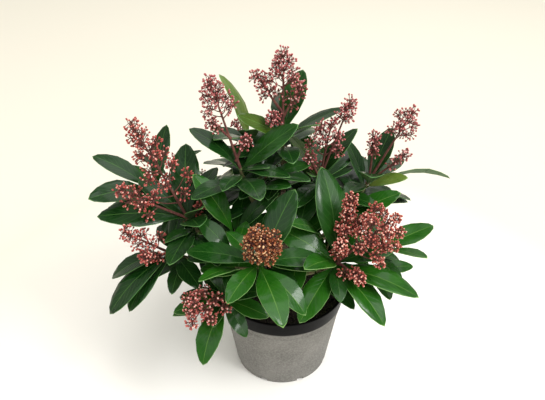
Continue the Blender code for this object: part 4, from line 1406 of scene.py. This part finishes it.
def leaf_plain(name, first, second, roughness):
    """The matt finish of a midrib, a margin, an underside or a bud."""
    material, tree, shader = new_material(name)
    tone = mottled(tree, first, second, PLAIN_CLOUDS, 0.15)
    finish(tree, shader, tone["Color"], roughness, tone["Normal"])
    shader.inputs["Specular IOR Level"].default_value = 0.25
    return material


TINT_ORDER = tuple(LEAF_GREENS)
# Masses in front get the vivid greens and those in the next list the deep ones: partly the leaves' own tone,
# partly painted light and painted shade.
VIVID_LIT_SHOOTS = ("front_spray", "right_front_spray", "low_front_spray", "inner_front_spray", "low_right_spray")
DEEP_SHADED_SHOOTS = (
    "left_spray", "far_left_spray", "low_left_spray", "top_spray", "upper_left_spray", "far_right_spray",
)
VIVID_SHARES = (("vivid", 0.72), ("mid", 1.0))  # the draw below which a leaf has each green
DEEP_SHARES = (("deep", 0.75), ("mid", 1.0))
OTHER_SHARES = (("deep", 0.50), ("mid", 0.96), ("fresh", 1.0))
# Young and fresh leaves are new growth. The vivid, mid and deep choices make single leaves lighter or darker,
# partly as painted light and painted shade.
LEAF_TINTS = {
    "young": {("upper_back_spray", 0), ("far_right_spray", 3)},
    "fresh": {("top_spray", 1), ("upper_right_spray", 1), ("inner_left_spray", 1)},
    "vivid": {
        ("inner_left_spray", 0), ("inner_right_spray", 0), ("front_spray", 4), ("right_front_spray", 1),
        ("right_front_spray", 2), ("right_front_spray", 4), ("right_front_spray", 5),
    },
    "mid": {("front_spray", 0)},
    "deep": {("front_spray", 5), ("front_spray", 6)},
}  # (mass, number of its set leaf)


def tint_of(shoot, order, chance):
    """The green of a leaf: young where its place says so, vivid in front and deep behind as partly painted
    light and shade.
    """
    draw = chance.random()
    for tint, chosen in LEAF_TINTS.items():
        if (shoot.name, order) in chosen:
            return tint
    shares = OTHER_SHARES
    if shoot.name in VIVID_LIT_SHOOTS:
        shares = VIVID_SHARES
    if shoot.name in DEEP_SHADED_SHOOTS:
        shares = DEEP_SHARES
    return next(tint for tint, share in shares if draw < share)


LEAF_TRIES = 16
LEAF_SWING = 9.0  # the most that a leaf turns or climbs to pass one that grew before it
OPEN_BLADE = 0.20  # the share of its length past which a leaf crosses no other


def blade_room(points):
    """The box and the search tree of a leaf, without the foot that it shares with its whorl."""
    return points.min(axis=0), points.max(axis=0), BVHTree.FromPolygons(points.tolist(), open_faces)


def crossings(blade, grown):
    """How often a leaf crosses those that grew before it."""
    low, high, tree = blade
    near = [other for at, to, other in grown if (low < to).all() and (high > at).all()]
    return sum(len(tree.overlap(other)) for other in near)


def parted_leaf(leaf, points, grown, chance):
    """A leaf's points, turned a little where it would cross one that grew before it."""
    best, blade = points, blade_room(points)
    fewest = crossings(blade, grown)
    for tried in range(LEAF_TRIES):
        if fewest == 0:
            break
        reach = LEAF_SWING * (tried + 1) / LEAF_TRIES
        azimuth = leaf.azimuth + chance.uniform(-reach, reach)
        climb = leaf.climb + chance.uniform(-reach, reach)
        moved = leaf_points(replace(leaf, azimuth=azimuth, climb=climb), pattern_points, chance)
        moved_blade = blade_room(moved)
        count = crossings(moved_blade, grown)
        if count < fewest:
            best, blade, fewest = moved, moved_blade, count
    grown.append(blade)
    return best


pattern_points, pattern_faces, pattern_slots = leaf_pattern()
open_faces = [face for face in pattern_faces if pattern_points[list(face), 1].mean() > OPEN_BLADE]
shape_chance = random.Random(SEED + 500)
tint_chance = random.Random(SEED + 501)
part_chance = random.Random(SEED + 502)
grown_blades = []
leaf_copies = []
leaf_slots = []
for shoot, leaf, order in growth.leaves:
    points = leaf_points(leaf, pattern_points, shape_chance)
    leaf_copies.append(parted_leaf(leaf, points, grown_blades, part_chance))
    tint = TINT_ORDER.index(tint_of(shoot, order, tint_chance))
    tone = 1 if TINT_ORDER[tint] in ("vivid", "fresh", "young") else 0
    margin = len(TINT_ORDER) + tone
    leaf_slots.append(np.choose(pattern_slots, [tint, margin, margin + 2, len(TINT_ORDER) + 4]))
leaf_materials = []
for tint in TINT_ORDER:
    tone = "light" if tint in ("fresh", "young") else "dark"
    leaf_materials.append(leaf_blade(f"leaf_{tint}", *LEAF_GREENS[tint], PALE_GREENS[tone][0]))
leaf_materials += [leaf_plain(f"leaf_margin_{tone}", *PALE_GREENS[tone], 0.45) for tone in PALE_GREENS]
leaf_materials += [leaf_plain(f"leaf_rib_{tone}", *RIB_GREENS[tone], 0.45) for tone in RIB_GREENS]
leaf_materials.append(leaf_plain("leaf_underside", *UNDERSIDE_GREENS, 0.60))
leaves = joined_copies("leaves", pattern_faces, np.array(leaf_copies), np.array(leaf_slots), leaf_materials)
blade_map = leaves.data.uv_layers.new(name="blade")
corner_points = np.array([corner for face in pattern_faces for corner in face])
map_points = np.stack([0.5 + pattern_points[:, 0] * 0.5, pattern_points[:, 1]], axis=1)
blade_map.uv.foreach_set("vector", np.tile(map_points[corner_points], (len(leaf_copies), 1)).ravel())
leaves.data.set_sharp_from_angle(angle=SMOOTHED_ANGLE)
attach(leaves, "root")
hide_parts(*masses)


# ---- The green stems ----------------------------------------------------------------------------
# The year's growth that carries the leaves: green stems and side twigs, flushed with brown. Each stem is
# a spline from its bough's tip to its whorl, and each twig one from its stem to its tip.

STEM_GREEN = (0.110, 0.150, 0.045)
STEM_FLUSH = (0.150, 0.085, 0.050)
STEM_RELIEF = 0.0003
STEM_FINISH = (10, 12)  # steps between points, and sides
TWIG_STEPS = 5
TWIG_BARK_RADII = (0.0019, 0.0015, 0.0012)

steps, sides = STEM_FINISH
stem_lines = [(stem_points(shoot), stem_radii(shoot), steps) for shoot in SHOOTS]
for _, start, tip in growth.twigs:
    stem_lines.append(([start, start.lerp(tip, 0.5), tip], TWIG_BARK_RADII, TWIG_STEPS))
stems = bevelled_curves("green_stems", stem_lines, sides)
roughened(stems, STEM_RELIEF)
stems.data.materials.append(bark("green_bark", STEM_GREEN, STEM_FLUSH, 0.2))
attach(stems, "root")
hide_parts(*masses)


# ---- The flower heads ---------------------------------------------------------------------------
# Branched spikes of buds that stay shut all winter. A dark red stalk carries side branches, each of
# which forks into a knot of short stalks with a round bud on each. Buds are dusky red or rose with a
# paler tip, which is partly a painted highlight, and those of the front and middle heads are amber.

BRANCHLETS = 7
BRANCHLET_TURN = 20.0
BRANCHLET_FEET = (0.50, 0.45)  # depth of the lowest below the middle, and how much higher the first is
KNOT_SPAN = 1.55  # the height of the knot that carries buds, in half lengths
KNOT_BASE = 0.9  # how far below its tip a knot's side branch ends, in knot lengths
FORK_SPREAD = 32.0
FORK_SPREADS = (0.80, 1.25)
FORK_SPIN = 0.15
FORK_PLACE = 0.42
FORK_BOW = 0.0004
BUD_PLACES = (0.82, 1.25)
BUD_RADII = (0.00102, 0.00136)
BUD_LENGTH = 1.25  # over its width
BRANCH_RADII = (0.00085, 0.00055)
PEDICEL_RADII = (0.00042, 0.00034)
MAIN_RADII = (0.0019, 0.0013, 0.0008)
MAIN_SWAY = 0.0008
MAIN_STOP = 0.004  # short of the top of its last knot
BRANCH_SAG = -0.07
STALK_STEPS = {"main": 8, "branch": 4, "branchlet": 2, "pedicel": 1}
STALK_SIDES = 8
PEDICEL_SIDES = 4
BUD_MESH = {"segments": 7, "ring_count": 5}
STALK_RED = (0.115, 0.028, 0.026)
STALK_BROWN = (0.150, 0.056, 0.036)
BUDS_EACH = {"dusky": 2, "wine": 2, "rose": 2, "pink": 3, "coral": 4, "amber": 4}  # on one fork
BUD_TINTS = {
    "dusky": ((0.260, 0.050, 0.052), (0.450, 0.120, 0.115), (0.930, 0.680, 0.620)),
    "rose": ((0.270, 0.042, 0.038), (0.450, 0.092, 0.072), (0.910, 0.590, 0.490)),
    "pink": ((0.310, 0.055, 0.050), (0.540, 0.145, 0.120), (0.970, 0.740, 0.650)),
    "coral": ((0.250, 0.044, 0.034), (0.460, 0.104, 0.078), (0.930, 0.620, 0.490)),
    "amber": ((0.170, 0.040, 0.014), (0.290, 0.086, 0.028), (0.880, 0.600, 0.340)),
    "wine": ((0.220, 0.042, 0.044), (0.350, 0.085, 0.082), (0.770, 0.440, 0.400)),
}  # foot, middle and tip of a bud; the pale tip is partly a painted highlight
HEAD_TINTS = {
    "left_spray": "rose",
    "low_left_spray": "rose",
    "low_front_spray": "pink",
    "right_front_spray": "coral",
    "front_spray": "amber",
    "middle_spray": "amber",
    "right_back_spray": "wine",
    "back_spray": "wine",
    "left_back_spray": "wine",
    "far_left_back_spray": "wine",
}  # the other heads are dusky
TIP_HIGHLIGHT_PLACE = 0.60
MIDDLE_PLACE = 0.15
TIP_BREADTH = 0.60  # how far the rings of a bud slide down from its tip, so that the pale cap, partly a painted highlight, is broad


def knot_of_buds(base, tip, size, each, chance):
    """Forked stalks that fill an egg, and their buds: (lines, [(place, direction, radius)])."""
    along = (tip - base).normalized()
    side = along.orthogonal().normalized()
    length = KNOT_LENGTH * size
    centre = tip - along * (length * 0.5)
    lines, buds = [], []
    for index in range(BRANCHLETS):
        share = (index + 0.5) / BRANCHLETS
        height = 1.0 - KNOT_SPAN * share
        turn = math.radians(GOLDEN_ANGLE * index + chance.uniform(-BRANCHLET_TURN, BRANCHLET_TURN))
        outward = Matrix.Rotation(turn, 3, along) @ side
        flat = math.sqrt(max(0.0, 1 - height * height))
        way = (outward * flat + along * height).normalized()
        fork = centre + egg(way, along, length, size) * FORK_PLACE
        foot = centre - along * (length * (BRANCHLET_FEET[0] - BRANCHLET_FEET[1] * (1 - share)))
        bow = foot.lerp(fork, 0.5) + outward * FORK_BOW
        lines.append(([foot, bow, fork], (BRANCH_RADII[1],) * 3, STALK_STEPS["branchlet"]))
        for step in range(each):
            spin = math.tau * (step + chance.uniform(-FORK_SPIN, FORK_SPIN)) / each
            across = Matrix.Rotation(spin, 3, way) @ way.orthogonal().normalized()
            spread = math.radians(FORK_SPREAD * chance.uniform(*FORK_SPREADS))
            turned_way = (way * math.cos(spread) + across * math.sin(spread)).normalized()
            place = centre + egg(turned_way, along, length, size) * chance.uniform(*BUD_PLACES)
            lines.append(([fork, place], PEDICEL_RADII, STALK_STEPS["pedicel"]))
            buds.append((place, (place - fork).normalized(), chance.uniform(*BUD_RADII)))
    return lines, buds


def egg(way, along, length, size):
    """From the middle of a knot to its surface."""
    up = way.dot(along)
    return along * (up * length * 0.5) + (way - along * up) * (KNOT_RADIUS * size)


head_chance = random.Random(SEED + 700)
stalk_lines = []
bud_lines = []
buds = {tint: [] for tint in BUD_TINTS}
for shoot, head, start, end, size, is_spike in growth.stalks:
    along = (end - start).normalized()
    base = end - along * (KNOT_LENGTH * size * KNOT_BASE)
    if is_spike:
        middle = start.lerp(end, 0.5)
        middle += along.orthogonal().normalized() * head_chance.uniform(-MAIN_SWAY, MAIN_SWAY)
        stalk_lines.append(([start, middle, end - along * MAIN_STOP], MAIN_RADII, STALK_STEPS["main"]))
    else:
        middle = start.lerp(base, 0.5) + heading(*head.lean) * (start - base).length * BRANCH_SAG
        radii = (*BRANCH_RADII, BRANCH_RADII[1])
        stalk_lines.append(([start, middle, base], radii, STALK_STEPS["branch"]))
    tint = HEAD_TINTS.get(shoot.name, "dusky")
    lines, knot = knot_of_buds(base, end, size, BUDS_EACH[tint], head_chance)
    bud_lines += lines
    buds[tint] += knot

stalk_material = bark("stalk_red", STALK_RED, STALK_BROWN, 0.15)
flower_stalks = bevelled_curves("flower_stalks", stalk_lines, STALK_SIDES)
bud_stalks = bevelled_curves("bud_stalks", bud_lines, PEDICEL_SIDES)
for stalks in (flower_stalks, bud_stalks):
    stalks.data.materials.append(stalk_material)
    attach(stalks, "root")
    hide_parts(*[shoot.name for shoot in SHOOTS if shoot.heads])

deselect_all()
bpy.ops.mesh.primitive_uv_sphere_add(radius=1.0, **BUD_MESH)
bud_points, bud_faces, _ = pattern_of(bpy.context.object)
polar = np.arccos(np.clip(bud_points[:, 2], -1, 1))
slid = polar * (1 + TIP_BREADTH * (1 - polar / math.pi))
round_scale = np.where(np.sin(polar) > 1e-6, np.sin(slid) / np.maximum(np.sin(polar), 1e-6), 0.0)
bud_points = np.stack([bud_points[:, 0] * round_scale, bud_points[:, 1] * round_scale, np.cos(slid)], axis=1)
face_heights = np.array([bud_points[list(face), 2].mean() for face in bud_faces])
# The cap is the pale tip, partly a painted highlight; the ring below it is the middle, and the rest the foot.
bud_slots = (face_heights > TIP_HIGHLIGHT_PLACE).astype(int) + (face_heights > MIDDLE_PLACE)
for tint, places in buds.items():
    copies = []
    for place, way, radius in places:
        turn = np.array(way.to_track_quat("Z", "Y").to_matrix())
        copies.append((bud_points * (radius, radius, radius * BUD_LENGTH)) @ turn.T + np.array(place))
    foot_red, middle_red, tip_pale_and_highlight = BUD_TINTS[tint]
    bud_materials = [
        leaf_plain(f"bud_foot_{tint}", foot_red, middle_red, 0.42),
        leaf_plain(f"bud_middle_{tint}", middle_red, foot_red, 0.38),
        leaf_plain(f"bud_tip_and_highlight_{tint}", tip_pale_and_highlight, middle_red, 0.38),
    ]
    piece = joined_copies(
        f"buds_{tint}", bud_faces, np.array(copies), np.tile(bud_slots, len(copies)), bud_materials
    )
    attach(piece, "root")
    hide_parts(*[s.name for s in SHOOTS if s.heads and HEAD_TINTS.get(s.name, "dusky") == tint])


# ---- The studio ---------------------------------------------------------------------------------
# A plain pale floor, soft light from above the right side, with weaker panels at the left and behind,
# and a camera that looks down on the plant from its front.

FLOOR_SIZE = 60.0
FLOOR_WHITE = (0.98, 0.962, 0.925)
FLOOR_CREAM = (0.74, 0.705, 0.60)
FLOOR_TURN = (0.16, 0.55)  # how far from the pot the floor's white starts and ends its turn to cream
LAMPS = {
    "key_light": ((1.2, -0.9, 1.8), 0.7, 24.0),
    "fill_light": ((-1.3, -0.8, 1.2), 1.5, 6.0),
    "back_light": ((0.5, 1.7, 2.2), 1.6, 13.0),
}  # place, size and power
LAMP_AIM = (0, 0, 0.2)
SUN_POWER = 2.2
SUN_ANGLE = 65.0
SUN_TURN = (18.0, 26.0, 0.0)
SKY = ((1.0, 0.965, 0.90), 0.54)
CAMERA_PLACE = (-0.013, -0.580, 0.625)
CAMERA_DOWN = 32.4
FOCAL_PIXELS = 560
FRAME_WIDTH = 545
SENSOR = 36.0

deselect_all()
bpy.ops.mesh.primitive_plane_add(size=FLOOR_SIZE)
floor = bpy.context.object
floor.name = "floor"
material, tree, shader = new_material("floor_paint")
away = add_node(tree, "ShaderNodeVectorMath", {"operation": "LENGTH"})
feed(tree, away.inputs[0], own_place(tree))
cream = ranged(tree, away.outputs["Value"], *FLOOR_TURN)
feed(tree, shader.inputs["Base Color"], mixed(tree, cream, FLOOR_WHITE, FLOOR_CREAM))
shader.inputs["Roughness"].default_value = 0.7
floor.data.materials.append(material)

for name, (place, size, power) in LAMPS.items():
    data = bpy.data.lights.new(name, "AREA")
    data.shape = "SQUARE"
    data.size = size
    data.energy = power
    light = bpy.data.objects.new(name, data)
    light.location = place
    light.rotation_euler = (Vector(LAMP_AIM) - Vector(place)).to_track_quat("-Z", "Y").to_euler()
    bpy.context.scene.collection.objects.link(light)

sun_data = bpy.data.lights.new("soft_sun", "SUN")
sun_data.energy = SUN_POWER
sun_data.angle = math.radians(SUN_ANGLE)
sun = bpy.data.objects.new("soft_sun", sun_data)
sun.rotation_euler = [math.radians(turn) for turn in SUN_TURN]
bpy.context.scene.collection.objects.link(sun)

world = bpy.data.worlds.new("studio")
bpy.context.scene.world = world
world.use_nodes = True
sky = world.node_tree.nodes["Background"]
sky.inputs["Color"].default_value = (*SKY[0], 1.0)
sky.inputs["Strength"].default_value = SKY[1]

camera_data = bpy.data.cameras.new("camera")
camera_data.sensor_width = SENSOR
camera_data.lens = SENSOR * FOCAL_PIXELS / FRAME_WIDTH
camera = bpy.data.objects.new("camera", camera_data)
camera.location = CAMERA_PLACE
camera.rotation_euler = (math.radians(90 - CAMERA_DOWN), 0, 0)
bpy.context.scene.collection.objects.link(camera)
bpy.context.scene.camera = camera
bpy.context.scene.view_settings.view_transform = "Standard"
